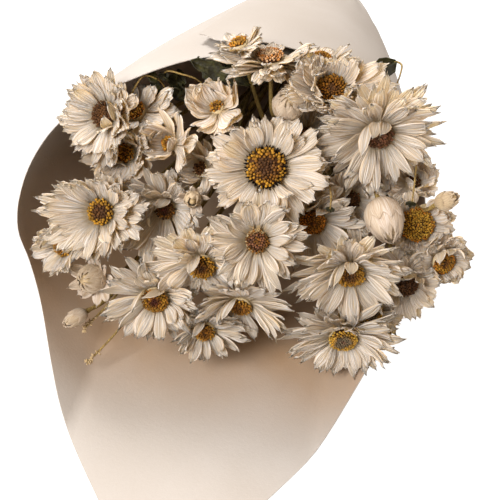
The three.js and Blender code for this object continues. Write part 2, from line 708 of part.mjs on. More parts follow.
addNode("paper_wrap", wrap, "#dcd1c0", 0.8);
addNode("stem_tie", twineTie(), "#a98d63", 0.9);
addNode("stems", stemBody, "#b39a62", 0.75);
for (const leaf of LEAVES) addNode(leaf.name, leaf.solid, "#3c4231", 0.7);
for (const head of heads) {
  if (head.kind === "daisy") {
    addNode(head.name + "_petals", head.whole, "#e6ddcb", 0.6);
    addNode(head.name + "_disc", head.florets, "#a5762f", 0.85);
  } else if (head.kind === "cup") {
    addNode(head.name, head.whole, "#e2d8c4", 0.6);
  } else {
    addNode(head.name, head.body, "#dccfae", 0.7);
  }
}

// The part's origin lies under the middle of the whole bunch, on the surface it rests on.
const bounds = new THREE.Box3().setFromObject(bunch);
const middle = bounds.getCenter(new THREE.Vector3());
bunch.position.set(-middle.x, -middle.y, -bounds.min.z);

export default bunch;
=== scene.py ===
# A bunch of dried white everlasting daisies, lying in a rolled sheet of cream paper.
import bmesh
import bpy
import math
import random
from mathutils import Matrix, Vector, noise
from mathutils.bvhtree import BVHTree


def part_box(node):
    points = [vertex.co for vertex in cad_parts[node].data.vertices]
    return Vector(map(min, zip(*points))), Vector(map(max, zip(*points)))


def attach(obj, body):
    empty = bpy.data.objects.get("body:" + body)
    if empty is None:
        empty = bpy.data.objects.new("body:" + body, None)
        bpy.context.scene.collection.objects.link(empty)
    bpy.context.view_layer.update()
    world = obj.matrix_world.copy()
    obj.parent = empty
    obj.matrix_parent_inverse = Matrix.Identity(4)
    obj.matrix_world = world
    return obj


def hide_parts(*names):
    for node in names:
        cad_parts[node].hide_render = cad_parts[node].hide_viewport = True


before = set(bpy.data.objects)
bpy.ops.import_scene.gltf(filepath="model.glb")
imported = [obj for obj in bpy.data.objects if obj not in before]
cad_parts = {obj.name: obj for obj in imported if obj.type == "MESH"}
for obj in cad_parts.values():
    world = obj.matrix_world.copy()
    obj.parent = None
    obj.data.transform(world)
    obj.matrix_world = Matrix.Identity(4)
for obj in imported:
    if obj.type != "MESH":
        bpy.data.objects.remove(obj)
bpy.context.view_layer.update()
dice = random.Random(12)

# The bunch is laid out in millimetres, with its neck at a fixed place, and then set where the frame has it.
# The heads spread over a plane that leans back: a head's place is across and up in that plane, as seen
# from sight in front of it, and its lift is how far it stands out towards there.
bunch = {
    "headsMiddle": Vector((0, -52, 58)),
    "headsTurn": 10,
    "headsLean": 45,
    "sight": 350,
    "neck": Vector((0, 190, 22)),
    "stemRadius": 1.3,
    "stemPitch": 2.8,
    "neckHalf": 8,
    "cutEndsFrom": 248,
    "cutEndSpread": 2.1,
    "cutEndDrop": 2,
    "calyxDepth": 5,
    "rim": 1,
}
turn = math.radians(bunch["headsTurn"])
lean = math.radians(bunch["headsLean"])
outward = Vector((math.sin(turn) * math.cos(lean), -math.cos(turn) * math.cos(lean), math.sin(lean)))
across = Vector((math.cos(turn), math.sin(turn), 0))
upward = outward.cross(across)

tieLow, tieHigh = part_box("stem_tie")
toRow = Matrix.Translation((tieLow + tieHigh) / 2 - bunch["neck"] * 0.001) @ Matrix.Scale(0.001, 4)

# Open heads, in mm. Turn and nod lean the way a head faces, sideways and up. Reach is how far the petals
# reach to the right, up, left and down of the disc's middle, as seen. Open is the rise from flat that the
# petals keep near, in degrees, and curl what they rise further by their tips. Petals is how many stand in
# the outer ring; blunt is 0 for pointed tips and 1 for broad toothed ones. Over gives where round the disc,
# in degrees, small petals fold in over it.
headWords = "across up lift turn nod disc reach open curl petals width blunt florets over".split()
daisies = [
    (5.9, 30.5, 13, 0, 0, 7.1, (24.4, 17.8, 23.7, 22.9), 20, 8, 17, 6.4, 0.8, "goldOnBlack", []),
    (47.4, 42.9, 12, 0, -0.9, 4.9, (24.8, 15.9, 24.4, 20.7), 15, 8, 26, 5.2, 0.3, "plum", [72, 100, 130]),
    (-55.1, 14.1, 0, -0.2, -0.05, 4.8, (17.5, 13, 25.2, 19), 22, 6, 26, 5, 0.15, "goldBeads", []),
    (37, -8.5, 9, 0, -0.9, 4.8, (22.1, 12.6, 24.5, 20.5), 15, 8, 24, 5.2, 0.2, "goldStamens",
     [90, 118, 150]),
    (2.6, 3.3, 16, 0, -0.1, 3.9, (17.8, 18.5, 17.8, 20.5), 22, 6, 18, 5, 0.1, "greyDome", []),
    (-17.8, -5.7, 5, 0.05, -0.75, 4.4, (15, 12.6, 21.5, 10.6), 15, 8, 18, 5.4, 0.4, "goldStamens", [110]),
    (-35.1, -18.1, -4, -0.05, -0.6, 4.8, (16.3, 16.5, 21.1, 17.8), 20, 8, 22, 5, 0.2, "redCentre",
     [60, 135]),
    (30.1, 59.3, 14, 0, 0.1, 4.6, (23.3, 11.5, 21.1, 9.5), 34, 10, 19, 6.8, 0.7, "amberBrush",
     [120, 150, 180, 215]),
    (7.4, 71.2, 9, -0.1, 1.3, 4.8, (18.5, 6, 23.7, 11.5), 0, -4, 22, 5, 0.3, "pinkTan", []),
    (34.4, -32.6, -8, 0, -0.9, 5.2, (21.5, 14, 22, 14.4), 15, 6, 25, 4.8, 0.1, "goldRing", []),
    (-31.5, 15.3, -6, 0, -0.5, 3.6, (13.5, 12, 25, 24), 20, 6, 23, 5, 0.5, "redBrown", [75, 110, 140, 175]),
    (22.9, 10.7, -4, 0.1, -0.5, 4.8, (19.5, 12, 16, 20), 20, 8, 18, 5.2, 0.4, "rust", [60, 100]),
    (-16.8, -30, -14, 0, -0.6, 3.6, (17, 7.5, 13.3, 12.6), 22, 8, 22, 4, 0.3, "amber", [95]),
    (-53.7, 50.1, 4, -0.5, 0.1, 4.6, (10.5, 16.6, 18.5, 18.9), 30, 10, 24, 5.2, 0.4, "umber", [-15, -60]),
    (-42.4, 51.2, -5, -0.4, 0.5, 3.6, (16.5, 10.6, 6.5, 11), 14, 6, 16, 6.2, 0.4, "orange", []),
    (61.6, 9.3, -5, 0, 0, 6.2, (14, 12.4, 12.3, 10.3), 30, 6, 16, 6, 0.7, "goldField", [-70]),
    (57.4, -12.6, -9, 0.1, -0.6, 4.4, (14, 15, 11, 15.8), 25, 8, 18, 5.4, 0.6, "umber", [20, 50, 80, 115]),
    (44.4, -22.9, -18, 0.4, -0.4, 4.6, (14.2, 9.4, 9.4, 13), 30, 6, 16, 5, 0.5, "goldRing", [-10, 30]),
    (71.4, -4.4, -3, 0.45, -0.5, 4.2, (12.4, 9.8, 11.4, 9.4), 35, 14, 18, 5.6, 0.6, "orange",
     [55, 90, 125]),
]

# Heads whose disc hardly shows: half-closed cups and flowers seen from the side or from behind.
cups = [
    (-30.5, 39.5, 2, -0.8, 0.1, 2.6, (9.5, 15, 7.5, 11.5), 50, 24, 10, 7.6, 0.6, "orange", [-30]),
    (-12.6, 53.3, 5, -0.5, 0.5, 2.2, (9.6, 11.5, 13, 12.5), 60, 50, 9, 9.6, 0.8, "orange", [60]),
    (-18.5, 30, -3, -0.6, 0.2, 2.4, (8.5, 12, 8.5, 11), 50, 24, 11, 6.4, 0.7, "umber", [80, 150]),
    (-3.7, -21.1, -5, -0.3, -1.2, 4.2, (20, 11.4, 19.6, 12), 10, 8, 24, 4.8, 0.1, "amber", [100, 140]),
    (-45.9, 35.9, -6, -0.2, -0.2, 3, (12.9, 9, 18.5, 12.7), 40, 10, 16, 6.2, 0.6, "orange", [200, 240]),
    (26.6, 71.2, 3, 0.1, 1.1, 3.4, (11.6, 6, 11.6, 8), 20, 6, 16, 4.8, 0.4, "orange", []),
    (21.5, 41.8, -6, 0.2, 0.2, 3.2, (12.4, 12.4, 12.4, 15.4), 40, 12, 18, 5.4, 0.6, "rust", [200, 250]),
    (-69.6, 1.1, -14, -0.5, -0.3, 3.4, (14, 9.4, 13, 11.3), 25, 8, 20, 4.8, 0.3, "amber", [70, 120]),
    (37.7, 18.5, -10, 0.3, -0.2, 3, (14, 11, 12.5, 16), 40, 14, 18, 5.4, 0.7, "umber", [30, 120, 200]),
    (-4.4, 77, 8, -0.5, 1.2, 3, (9, 5.4, 12.8, 7), 10, 0, 18, 4.6, 0.3, "orange", []),
    (60.5, 25.5, -10, 0.3, 0.3, 2.4, (9.5, 9.5, 11, 9.5), 45, 24, 14, 6, 0.8, "umber", [20, 110, 200, 290]),
]

# Closed buds and dry pods. Mouth is how wide the tip stays open, bracts how many scales go round, and
# skirt how many petals stand open round its foot.
budWords = "name across up lift turn nod width length mouth bracts tint skirt".split()
buds = [
    ("bud_round", 14, 51, 8, 0, 0.3, 12, 13, 0.1, 8, 0.35, 0),
    ("bud_hanging", 47.5, 18.5, 8, 0.5, -2.0, 14.5, 17.5, 0, 9, 0.2, 0),
    ("bud_rosette", -56, -10, -14, -0.4, -0.1, 11.5, 12, 0.06, 9, 0.6, 13),
    ("bud_almond", -61, -23, -20, -0.9, -0.6, 6.5, 11, 0, 5, 0.4, 0),
    ("pod_cream", -21, 20, 8, 0, -0.4, 6, 8, 0.3, 5, 0.9, 7),
    ("pod_brown_spot", 69.5, 17, 2, 0.7, 0.3, 7, 10, 0.2, 5, 0.8, 0),
]


def facingTo(right, top, ahead):
    return Matrix((right, top, ahead)).transposed().to_4x4()


def headOf(words, row, kind, **more):
    head = {**dict(zip(words, row)), "kind": kind, **more}
    facing = (outward + across * head["turn"] + upward * head["nod"]).normalized()
    top = (upward - facing * upward.dot(facing)).normalized()
    right = top.cross(facing)
    scale = (bunch["sight"] - head["lift"]) / bunch["sight"]
    spread = (across * head["across"] + upward * head["up"]) * scale
    head["scale"] = scale
    head["right"] = right
    head["top"] = top
    head["facing"] = facing
    head["centre"] = bunch["headsMiddle"] + spread + outward * head["lift"]
    head["base"] = head["centre"] - facing * (0 if kind == "bud" else bunch["calyxDepth"])
    head["stand"] = Matrix.Translation(head["centre"]) @ facingTo(right, top, facing)
    return head


def headsOf(rows, kind):
    return [headOf(headWords, row, kind, name=f"{kind}_{i + 1:02d}") for i, row in enumerate(rows)]


daisyHeads = headsOf(daisies, "daisy")
cupHeads = headsOf(cups, "cup")
budHeads = [headOf(budWords, row, "bud") for row in buds]
openHeads = daisyHeads + cupHeads


def ease(low, high, value):
    t = min(max((value - low) / (high - low), 0), 1)
    return t * t * (3 - 2 * t)


def through(keys, position):
    # A value that runs smoothly through keyed ones, and stays level between two that are alike.
    if position <= keys[0][0]:
        return keys[0][1]
    for i in range(1, len(keys)):
        start, low = keys[i - 1]
        end, high = keys[i]
        if position > end:
            continue
        before = keys[max(i - 2, 0)]
        after = keys[min(i + 1, len(keys) - 1)]
        slopeLow = 0 if low == high or before[1] == low else (high - before[1]) / (end - before[0])
        slopeHigh = 0 if low == high or after[1] == high else (after[1] - low) / (after[0] - start)
        step = end - start
        t = (position - start) / step
        rise = 3 * t * t - 2 * t ** 3
        sag = (t ** 3 - 2 * t * t + t) * slopeLow + (t ** 3 - t * t) * slopeHigh
        return low + (high - low) * rise + step * sag
    return keys[-1][1]


# Materials. A socket is wrapped so that sums on it are written as Python: each operator adds a Math node.
class Amount:
    def __init__(self, finish, socket):
        self.finish = finish
        self.socket = socket

    def output(self, name):
        return Amount(self.finish, self.socket.node.outputs[name])

    def worked(self, operation, first, second):
        return self.finish.node("ShaderNodeMath", {"operation": operation}, {0: first, 1: second})

    def folded(self, width):
        return self.worked("PINGPONG", self, width)

    def __add__(self, other):
        return self.worked("ADD", self, other)

    def __radd__(self, other):
        return self.worked("ADD", other, self)

    def __sub__(self, other):
        return self.worked("SUBTRACT", self, other)

    def __rsub__(self, other):
        return self.worked("SUBTRACT", other, self)

    def __mul__(self, other):
        return self.worked("MULTIPLY", self, other)

    def __rmul__(self, other):
        return self.worked("MULTIPLY", other, self)


class Finish:
    def __init__(self, name, roughness, specular=0.3, sheen=0.0):
        self.material = bpy.data.materials.new(name)
        self.material.use_nodes = True
        self.tree = self.material.node_tree
        self.shader = self.tree.nodes["Principled BSDF"]
        self.shader.inputs["Roughness"].default_value = roughness
        self.shader.inputs["Specular IOR Level"].default_value = specular
        self.shader.inputs["Sheen Weight"].default_value = sheen

    def node(self, kind, settings, inputs, output=0):
        made = self.tree.nodes.new(kind)
        for setting, value in settings.items():
            setattr(made, setting, value)
        for name, value in inputs.items():
            self.feed(made.inputs[name], value)
        return Amount(self, made.outputs[output])

    def feed(self, socket, value):
        if isinstance(value, Amount):
            self.tree.links.new(value.socket, socket)
        else:
            socket.default_value = value

    def shade(self, name, value):
        self.feed(self.shader.inputs[name], value)

    def noise(self, vector, scale, detail=2.0, roughness=0.5):
        return self.node("ShaderNodeTexNoise", {}, {
            "Vector": vector, "Scale": scale, "Detail": detail, "Roughness": roughness,
        })

    def between(self, factor, low, high):
        # A colour from low to high. The Mix node's colours are its inputs 6 and 7, and its output 2.
        return self.node("ShaderNodeMix", {"data_type": "RGBA"}, {0: factor, 6: low, 7: high}, output=2)

    def stepped(self, value, low, high):
        return self.node("ShaderNodeMapRange", {"interpolation_type": "SMOOTHSTEP"}, {
            "Value": value, "From Min": low, "From Max": high,
        })

    def vector(self, x, y, z):
        return self.node("ShaderNodeCombineXYZ", {}, {0: x, 1: y, 2: z})

    def place(self):
        return self.node("ShaderNodeTexCoord", {}, {}, output="Object")

    def own(self, name, output="Fac"):
        return self.node("ShaderNodeAttribute", {"attribute_name": name}, {}, output=output)

    def relief(self, height, depth, strength=1.0):
        bump = self.node("ShaderNodeBump", {}, {"Height": height, "Distance": depth, "Strength": strength})
        self.shade("Normal", bump)

    def glow(self, share, colour):
        # Lets light through a thin sheet.
        shining = self.node("ShaderNodeBsdfTranslucent", {}, {"Color": colour})
        bsdf = Amount(self, self.shader.outputs[0])
        mixed = self.node("ShaderNodeMixShader", {}, {0: share, 1: bsdf, 2: shining})
        self.tree.links.new(mixed.socket, self.tree.nodes["Material Output"].inputs["Surface"])


def tint(red, green, blue):
    # A colour as it is seen, from 0 to 255, made linear.
    return tuple((c / 255) ** 2.2 for c in (red, green, blue)) + (1.0,)


def petalFinish():
    look = {
        "ivory": tint(251, 249, 249), "cream": tint(238, 223, 201),
        "grooveShade": tint(201, 174, 129), "root": tint(201, 174, 120),
    }
    paint = Finish("driedPetal", roughness=0.5, specular=0.35, sheen=0.1)
    grain = paint.node("ShaderNodeUVMap", {"uv_map": "blade"}, {})
    parts = paint.node("ShaderNodeSeparateXYZ", {}, {0: grain})
    beside = parts.output("X")
    along = parts.output("Y")
    tone = paint.own("tone")
    # Ribs run from root to tip, uneven in width, with finer grain between them.
    broad = paint.noise(paint.vector(beside * 6 + tone * 40, along * 0.8, tone * 9), 1.0, 2.0)
    fine = paint.noise(paint.vector(beside * 34 + tone * 90, along * 1.3, tone * 5), 1.0, 3.0)
    ribs = (beside * 8 + broad * 2.6).folded(0.5) * 2
    veins = ribs * 0.55 + fine * 0.45
    # The colour follows the ribs' relief and the grain, lighter on the rib tops and darker in their
    # grooves: painted light and shade along the ribs.
    body = paint.between(paint.stepped(veins, 0.3, 0.62), look["cream"], look["ivory"])
    grooveShaded = paint.between((1 - paint.stepped(veins, 0.16, 0.38)) * 0.65, body, look["grooveShade"])
    aged = paint.between(paint.stepped(tone, 0.7, 1.2) * 0.5, grooveShaded, look["cream"])
    rooted = paint.between((1 - paint.stepped(along, 0.0, 0.24)) * 0.7, aged, look["root"])
    paint.shade("Base Color", rooted)
    paint.shade("Roughness", 0.38 + 0.25 * fine)
    paint.relief(veins, 0.0005, 1.0)
    paint.glow(0.5, tint(252, 231, 186))
    return paint.material


def calyxFinish():
    look = {"tan": tint(150, 122, 78), "cream": tint(214, 196, 158)}
    paint = Finish("calyxScale", roughness=0.6, specular=0.25)
    place = paint.place()
    mottle = paint.noise(place, 420.0, 3.0)
    paint.shade("Base Color", paint.between(mottle, look["tan"], look["cream"]))
    paint.relief(paint.noise(place, 1800.0, 2.0), 0.0003, 0.5)
    return paint.material


def floretFinish():
    # Each floret brings its own colour, with painted shade at its foot, and the speckle only darkens it.
    paint = Finish("goldFlorets", roughness=0.7, specular=0.25)
    speckle = paint.noise(paint.place(), 2600.0, 2.0)
    seen = paint.own("floretColour", "Color")
    darker = paint.node("ShaderNodeMix", {"data_type": "RGBA", "blend_type": "MULTIPLY"}, {
        0: 1.0, 6: seen, 7: paint.between(speckle, tint(120, 110, 100), tint(255, 255, 255)),
    }, output=2)
    paint.shade("Base Color", darker)
    paint.relief(speckle, 0.0003, 0.6)
    return paint.material


def stemFinish():
    look = {"straw": tint(176, 148, 88), "green": tint(128, 112, 62), "dark": tint(96, 76, 42)}
    paint = Finish("strawStem", roughness=0.62, specular=0.3)
    parts = paint.node("ShaderNodeSeparateXYZ", {}, {0: paint.place()})
    # The fibres run along the bunch.
    fibres = paint.noise(paint.vector(
        parts.output("X") * 2400, parts.output("Y") * 90, parts.output("Z") * 2400), 1.0, 2.0)
    straw = paint.between(paint.own("tone"), look["straw"], look["green"])
    paint.shade("Base Color", paint.between(paint.stepped(fibres, 0.3, 0.75), look["dark"], straw))
    paint.relief(fibres, 0.0004, 0.7)
    return paint.material


def leafFinish():
    look = {"dark": tint(38, 34, 20), "green": tint(64, 62, 34)}
    paint = Finish("driedLeaf", roughness=0.58, specular=0.3)
    place = paint.place()
    mottle = paint.noise(place, 380.0, 4.0)
    paint.shade("Base Color", paint.between(paint.stepped(mottle, 0.35, 0.7), look["dark"], look["green"]))
    paint.relief(paint.noise(place, 900.0, 3.0), 0.0006, 0.6)
    paint.glow(0.12, look["green"])
    return paint.material


def paperFinish(name, shadedByHeads=False):
    # The sheet's inside is painted darker and warmer by the heads, as painted shade from them, where its
    # own tone says so.
    look = {"pale": tint(187, 181, 176), "warm": tint(171, 162, 153), "headShade": tint(160, 129, 98)}
    paint = Finish(name, roughness=0.72, specular=0.25)
    place = paint.place()
    clouds = paint.noise(place, 14.0, 3.0)
    fibres = paint.noise(place, 900.0, 4.0, 0.7)
    mottle = paint.stepped(clouds, 0.3, 0.7) * 0.6 + fibres * 0.4
    sheet = paint.between(mottle, look["warm"], look["pale"])
    if shadedByHeads:
        # Painted shade of the heads, darker and warmer, mottled by noise.
        headShade = paint.own("tone") * (0.55 + paint.noise(place, 40.0, 3.0) * 0.6)
        sheet = paint.between(headShade, sheet, look["headShade"])
    paint.shade("Base Color", sheet)
    paint.relief(fibres, 0.0003, 0.35)
    paint.glow(0.06, tint(240, 230, 220))
    return paint.material


def twineFinish():
    look = {"dark": tint(112, 84, 48), "pale": tint(192, 160, 108)}
    paint = Finish("juteTwine", roughness=0.9, specular=0.15, sheen=0.2)
    fibres = paint.noise(paint.place(), 2200.0, 4.0, 0.7)
    paint.shade("Base Color", paint.between(paint.stepped(fibres, 0.3, 0.7), look["dark"], look["pale"]))
    paint.relief(fibres, 0.0005, 0.8)
    return paint.material


def budFinish():
    look = {
        "white": tint(222, 210, 200), "straw": tint(208, 186, 148),
        "streak": tint(184, 158, 128), "root": tint(176, 148, 98),
    }
    paint = Finish("budScale", roughness=0.46, specular=0.35, sheen=0.1)
    grain = paint.node("ShaderNodeUVMap", {"uv_map": "blade"}, {})
    parts = paint.node("ShaderNodeSeparateXYZ", {}, {0: grain})
    tone = paint.own("tone")
    silk = paint.noise(paint.vector(parts.output("X") * 20, parts.output("Y") * 1.2, tone * 9), 1.0, 3.0)
    shell = paint.between(tone, look["white"], look["straw"])
    root = (1 - paint.stepped(parts.output("Y"), 0.0, 0.35)) * 0.6
    silky = paint.between(paint.stepped(silk, 0.35, 0.65), look["streak"], shell)
    paint.shade("Base Color", paint.between(root, silky, look["root"]))
    paint.relief(silk, 0.0006, 0.7)
    paint.glow(0.2, tint(238, 222, 202))
    return paint.material


finishes = {
    "petal": petalFinish(),
    "calyx": calyxFinish(),
    "floret_gold": floretFinish(),
    "straw_stem": stemFinish(),
    "dried_leaf": leafFinish(),
    "wrap_paper": paperFinish("wrapPaper"),
    "paper_inside": paperFinish("paperInside", shadedByHeads=True),
    "twine": twineFinish(),
    "bud_scale": budFinish(),
}
print("finishes ready:", len(finishes))


# Making pieces.
def newBody():
    body = bmesh.new()
    body.loops.layers.uv.new("blade")
    body.verts.layers.float.new("tone")
    return body


def setDown(name, body, materials, nodes=(), thickness=0.0):
    # Puts a finished mesh in its place in the frame, as one piece of the bunch.
    bmesh.ops.transform(body, matrix=toRow, verts=body.verts)
    # A sheet's edge is sharp, so that its thin rim doesn't round the look of its faces.
    for edge in body.edges:
        edge.smooth = not edge.is_boundary
    mesh = bpy.data.meshes.new(name)
    body.to_mesh(mesh)
    body.free()
    for polygon in mesh.polygons:
        polygon.use_smooth = True
    for material in materials:
        mesh.materials.append(finishes[material])
    piece = bpy.data.objects.new(name, mesh)
    bpy.context.scene.collection.objects.link(piece)
    if thickness:
        wall = piece.modifiers.new("thickness", "SOLIDIFY")
        wall.thickness = thickness * 0.001
        wall.offset = 0
    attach(piece, "root")
    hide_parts(*nodes)
    return piece


# What stands already, so that what comes later bends clear of it.
standing = []


def boxOf(points):
    low = Vector([min(p[i] for p in points) for i in range(3)])
    high = Vector([max(p[i] for p in points) for i in range(3)])
    return low, high


def stand(owner, body):
    low, high = boxOf([v.co for v in body.verts])
    standing.append({"owner": owner, "tree": BVHTree.FromBMesh(body), "low": low, "high": high})


def isClear(points, faces, owner):
    low, high = boxOf(points)
    mine = None
    for other in standing:
        if other["owner"] == owner:
            continue
        if any(low[i] > other["high"][i] or high[i] < other["low"][i] for i in range(3)):
            continue
        mine = mine or BVHTree.FromPolygons(points, faces)
        if mine.overlap(other["tree"]):
            return False
    return True


def tube(body, points, radius, tone=0.5, sides=2):
    # A round rod along a row of points, from a curve with a bevel.
    line = bpy.data.curves.new("rod", "CURVE")
    line.dimensions = "3D"
    line.bevel_depth = 1
    line.bevel_resolution = sides
    line.use_fill_caps = True
    spline = line.splines.new("POLY")
    spline.points.add(len(points) - 1)
    for i, point in enumerate(points):
        spline.points[i].co = (*point, 1)
        spline.points[i].radius = radius(i / (len(points) - 1)) if callable(radius) else radius
    rod = bpy.data.objects.new("rod", line)
    mesh = rod.to_mesh()
    toneLayer = body.verts.layers.float["tone"]
    first = len(body.verts)
    body.from_mesh(mesh)
    body.verts.ensure_lookup_table()
    for vert in body.verts[first:]:
        vert[toneLayer] = tone
    rod.to_mesh_clear()
    bpy.data.objects.remove(rod)
    bpy.data.curves.remove(line)


# The paper wrap: one sheet rolled to a cone that lies on the surface. Its corner runs forward under
# the heads as a tongue, and its other side folds over the top. Places along the cone are in y, in mm.
paper = {
    "halfWidth": [(-50, 80), (0, 72), (94, 49), (160, 27), (182, 12.5), (198, 12.5), (214, 16)],
    "centreX": [(-50, -14), (0, -12), (94, -6), (165, -2), (182, 0), (214, 0)],
    "centreZ": [(-50, 57), (0, 55), (94, 41), (160, 27), (182, 22), (214, 22)],
    "halfTop": [(-50, 57), (0, 55), (94, 38), (160, 25), (182, 12.5), (198, 12.5), (214, 16)],
    "halfBottom": [(-50, 69), (0, 66), (94, 49), (160, 27), (182, 12.5), (198, 12.5), (214, 16)],
    # The mouth's edge, by the angle round the cone from its underside, the right side positive.
    "mouth": [
        (-205, 4), (-168, -5), (-143, -20), (-113, -27), (-97, -37), (-84, -47), (-71, -51), (-59, -63),
        (-42, -94), (-24, -124), (-8, -150), (0, -154), (8, -149), (23, -121), (36, -97), (47, -73),
        (58, -52), (65, -42), (90, -16), (120, -2), (150, 5), (175, 4), (188, 3), (196, 12),
    ],
    "start": -205,
    "stop": 196,
    "layerOffset": 1.0,
    "layerOpening": 0.15,
    "neckRows": [214, 200, 182, 165, 130],
    "mouthRows": 4,
    "thickness": 0.35,
    "lowest": 0.4,
    "columns": 168,
    "rows": 88,
    # The gathers: how many, how deep, how much flatter under the tie, and how far they wander.
    "gathers": 23,
    "gatherDepth": 0.88,
    "held": 0.45,
    "ruffle": 1.6,
    "wander": 1.98,
    "wanderAround": 22,
    "wanderAlong": 60,
    "dent": 1.6,
    "dentsAround": 1.6,
    "dentsAlong": 70,
    # Where along the cone each of these comes in, in y.
    "gathered": (90, 176),
    "intoTie": (176, 186),
    "outOfTie": (196, 203),
    "ruffled": (198, 214),
    "smooth": (110, 160),
    "shadedByHeads": (-102, -50),
    # By the angle: where the outer layer comes to lie over the inner one, and where the painted shade of
    # the heads fades.
    "lapped": (95, 150),
    "unshadedFrom": (62, 120),
}


def paperY(row, angle):
    rows = paper["neckRows"]
    last = len(rows) - 1
    if row <= last:
        before = min(int(row), last - 1)
        return rows[before] + (rows[before + 1] - rows[before]) * (row - before)
    return rows[last] + (through(paper["mouth"], angle) - rows[last]) * (row - last) / paper["mouthRows"]


def paperPoint(angle, row):
    y = paperY(row, angle)
    bend = math.radians(angle)
    outer = ease(*paper["lapped"], angle) - ease(*paper["lapped"], -angle)
    lift = outer * paper["layerOffset"] * (1 + paper["layerOpening"] * row)
    # The tie draws the sheet into gathers, which open to a ruffle behind it and soften towards the mouth.
    wander = noise.noise(Vector((angle / paper["wanderAround"], y / paper["wanderAlong"], 3)))
    gather = math.sin(bend * paper["gathers"] + paper["wander"] * wander)
    held = paper["held"] * ease(*paper["intoTie"], y) * (1 - ease(*paper["outOfTie"], y))
    drawn = ease(*paper["gathered"], y) * paper["gatherDepth"] * (1 - held)
    lift += gather * (drawn + paper["ruffle"] * ease(*paper["ruffled"], y))
    around = paper["dentsAround"]
    along = y / paper["dentsAlong"]
    dents = noise.noise(Vector((math.sin(bend) * around, along, math.cos(bend) * around + 5)))
    lift += paper["dent"] * max(dents, 0) * (1 - ease(*paper["smooth"], y))
    half = through(paper["halfBottom" if math.cos(bend) > 0 else "halfTop"], y)
    x = through(paper["centreX"], y) + (through(paper["halfWidth"], y) + lift) * math.sin(bend)
    z = through(paper["centreZ"], y) - (half + lift) * math.cos(bend)
    return Vector((x, y, max(z, paper["lowest"])))


def paperWrap():
    body = newBody()
    bmesh.ops.create_grid(body, x_segments=paper["columns"], y_segments=paper["rows"], size=0.5)
    toneLayer = body.verts.layers.float["tone"]
    rows = len(paper["neckRows"]) - 1 + paper["mouthRows"]
    for vert in body.verts:
        angle = paper["start"] + (paper["stop"] - paper["start"]) * (vert.co.x + 0.5)
        vert.co = paperPoint(angle, rows * (vert.co.y + 0.5))
        # The tone marks where the inside gets the heads' painted shade.
        vert[toneLayer] = ease(*paper["shadedByHeads"], vert.co.y) * (1 - ease(*paper["unshadedFrom"], abs(angle)))
    stand("paper_wrap", body)
    sides = ["wrap_paper", "paper_inside"]
    sheet = setDown("wrapPaper", body, sides, ["paper_wrap"], paper["thickness"])
    sheet.modifiers["thickness"].material_offset = 1


paperWrap()
print("paper wrap rolled")

# The twine round the paper's neck: two plies twisted on each other, in turns that lie side by side.
tie = {
    "turns": 3,
    "pitch": 1.8,
    "radius": 15.55,
    "ply": 0.5,
    "plyOffset": 0.42,
    "twist": 3.2,
    "step": 0.7,
    "start": 0.6,
    "slant": 0.6,
    "tuck": 0.9,
}


def twineTie():
    body = newBody()
    length = 2 * math.pi * tie["radius"] * tie["turns"]
    steps = int(length / tie["step"])
    for ply in range(2):
        points = []
        for i in range(steps + 1):
            share = i / steps
            angle = 2 * math.pi * tie["turns"] * share + tie["start"]
            tuck = tie["tuck"] * (ease(0.02, 0.0, share) + ease(0.98, 1.0, share))
            twist = 2 * math.pi * length * share / tie["twist"] + math.pi * ply
            out = tie["radius"] - tuck + tie["plyOffset"] * math.cos(twist)
            wound = (share - 0.5) * tie["pitch"] * (tie["turns"] - 1 + tie["slant"])
            y = wound + tie["plyOffset"] * math.sin(twist)
            points.append(bunch["neck"] + Vector((out * math.cos(angle), y, out * math.sin(angle))))
        tube(body, points, tie["ply"], sides=1)
    setDown("twineTie", body, ["twine"], ["stem_tie"])


twineTie()
print("twine wound")

# Stems. Each runs from its head to its place in the tied neck and on to its cut end, by the same rule
# as the frame's, and takes that of its possible ways which lies in the frame's own stems.
stemRule = {
    "straights": [18, 12, 26, 34, 8],
    "swings": [
        (0, 0), (5, 0), (-5, 0), (0, 5), (0, -5), (9, 4), (-9, 4), (9, -4), (-9, -4), (0, 10), (0, -10),
    ],
    "inward": 0.85,
    "fanLift": 14,
    "middle": (-10, 60),
    "half": (85, 70),
    "seat": 0.3,
    "stations": (0.12, 0.24, 0.4),
    "fanAt": 0.4,
    "points": 44,
    # Radii are shares of the bunch's stem radius.
    "thinnest": 0.62,
    "taper": 0.3,
    "collar": 1.25,
    "collarEnd": 0.03,
}
sprigs = [
    {"tip": Vector((-61, -77, 9)), "knee": Vector((-50, -62, 17))},
    {"tip": Vector((-63, -70, 21)), "knee": Vector((-54, -52, 24))},
]


def curvePoint(points, share):
    # A centripetal Catmull-Rom curve through the points.
    position = (len(points) - 1) * share
    i = min(int(position), len(points) - 2)
    t = position - i
    p1, p2 = points[i], points[i + 1]
    p0 = points[i - 1] if i > 0 else p1 * 2 - p2
    p3 = points[i + 2] if i + 2 < len(points) else p2 * 2 - p1
    d0, d1, d2 = (math.sqrt((b - a).length) for a, b in ((p0, p1), (p1, p2), (p2, p3)))
    leave = ((p1 - p0) / d0 - (p2 - p0) / (d0 + d1) + (p2 - p1) / d1) * d1
    reach = ((p2 - p1) / d1 - (p3 - p1) / (d1 + d2) + (p3 - p2) / d2) * d1
    return (p1 + leave * t + (p2 * 3 - p1 * 3 - leave * 2 - reach) * t * t
            + (p1 * 2 - p2 * 2 + leave + reach) * t ** 3)


toBunch = toRow.inverted()
frameStems = bmesh.new()
frameStems.from_mesh(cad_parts["stems"].data)
bmesh.ops.transform(frameStems, matrix=toBunch, verts=frameStems.verts)
stemTree = BVHTree.FromBMesh(frameStems)
cutEnds = [v.co.copy() for v in frameStems.verts if v.co.y > bunch["cutEndsFrom"]]
frameStems.free()


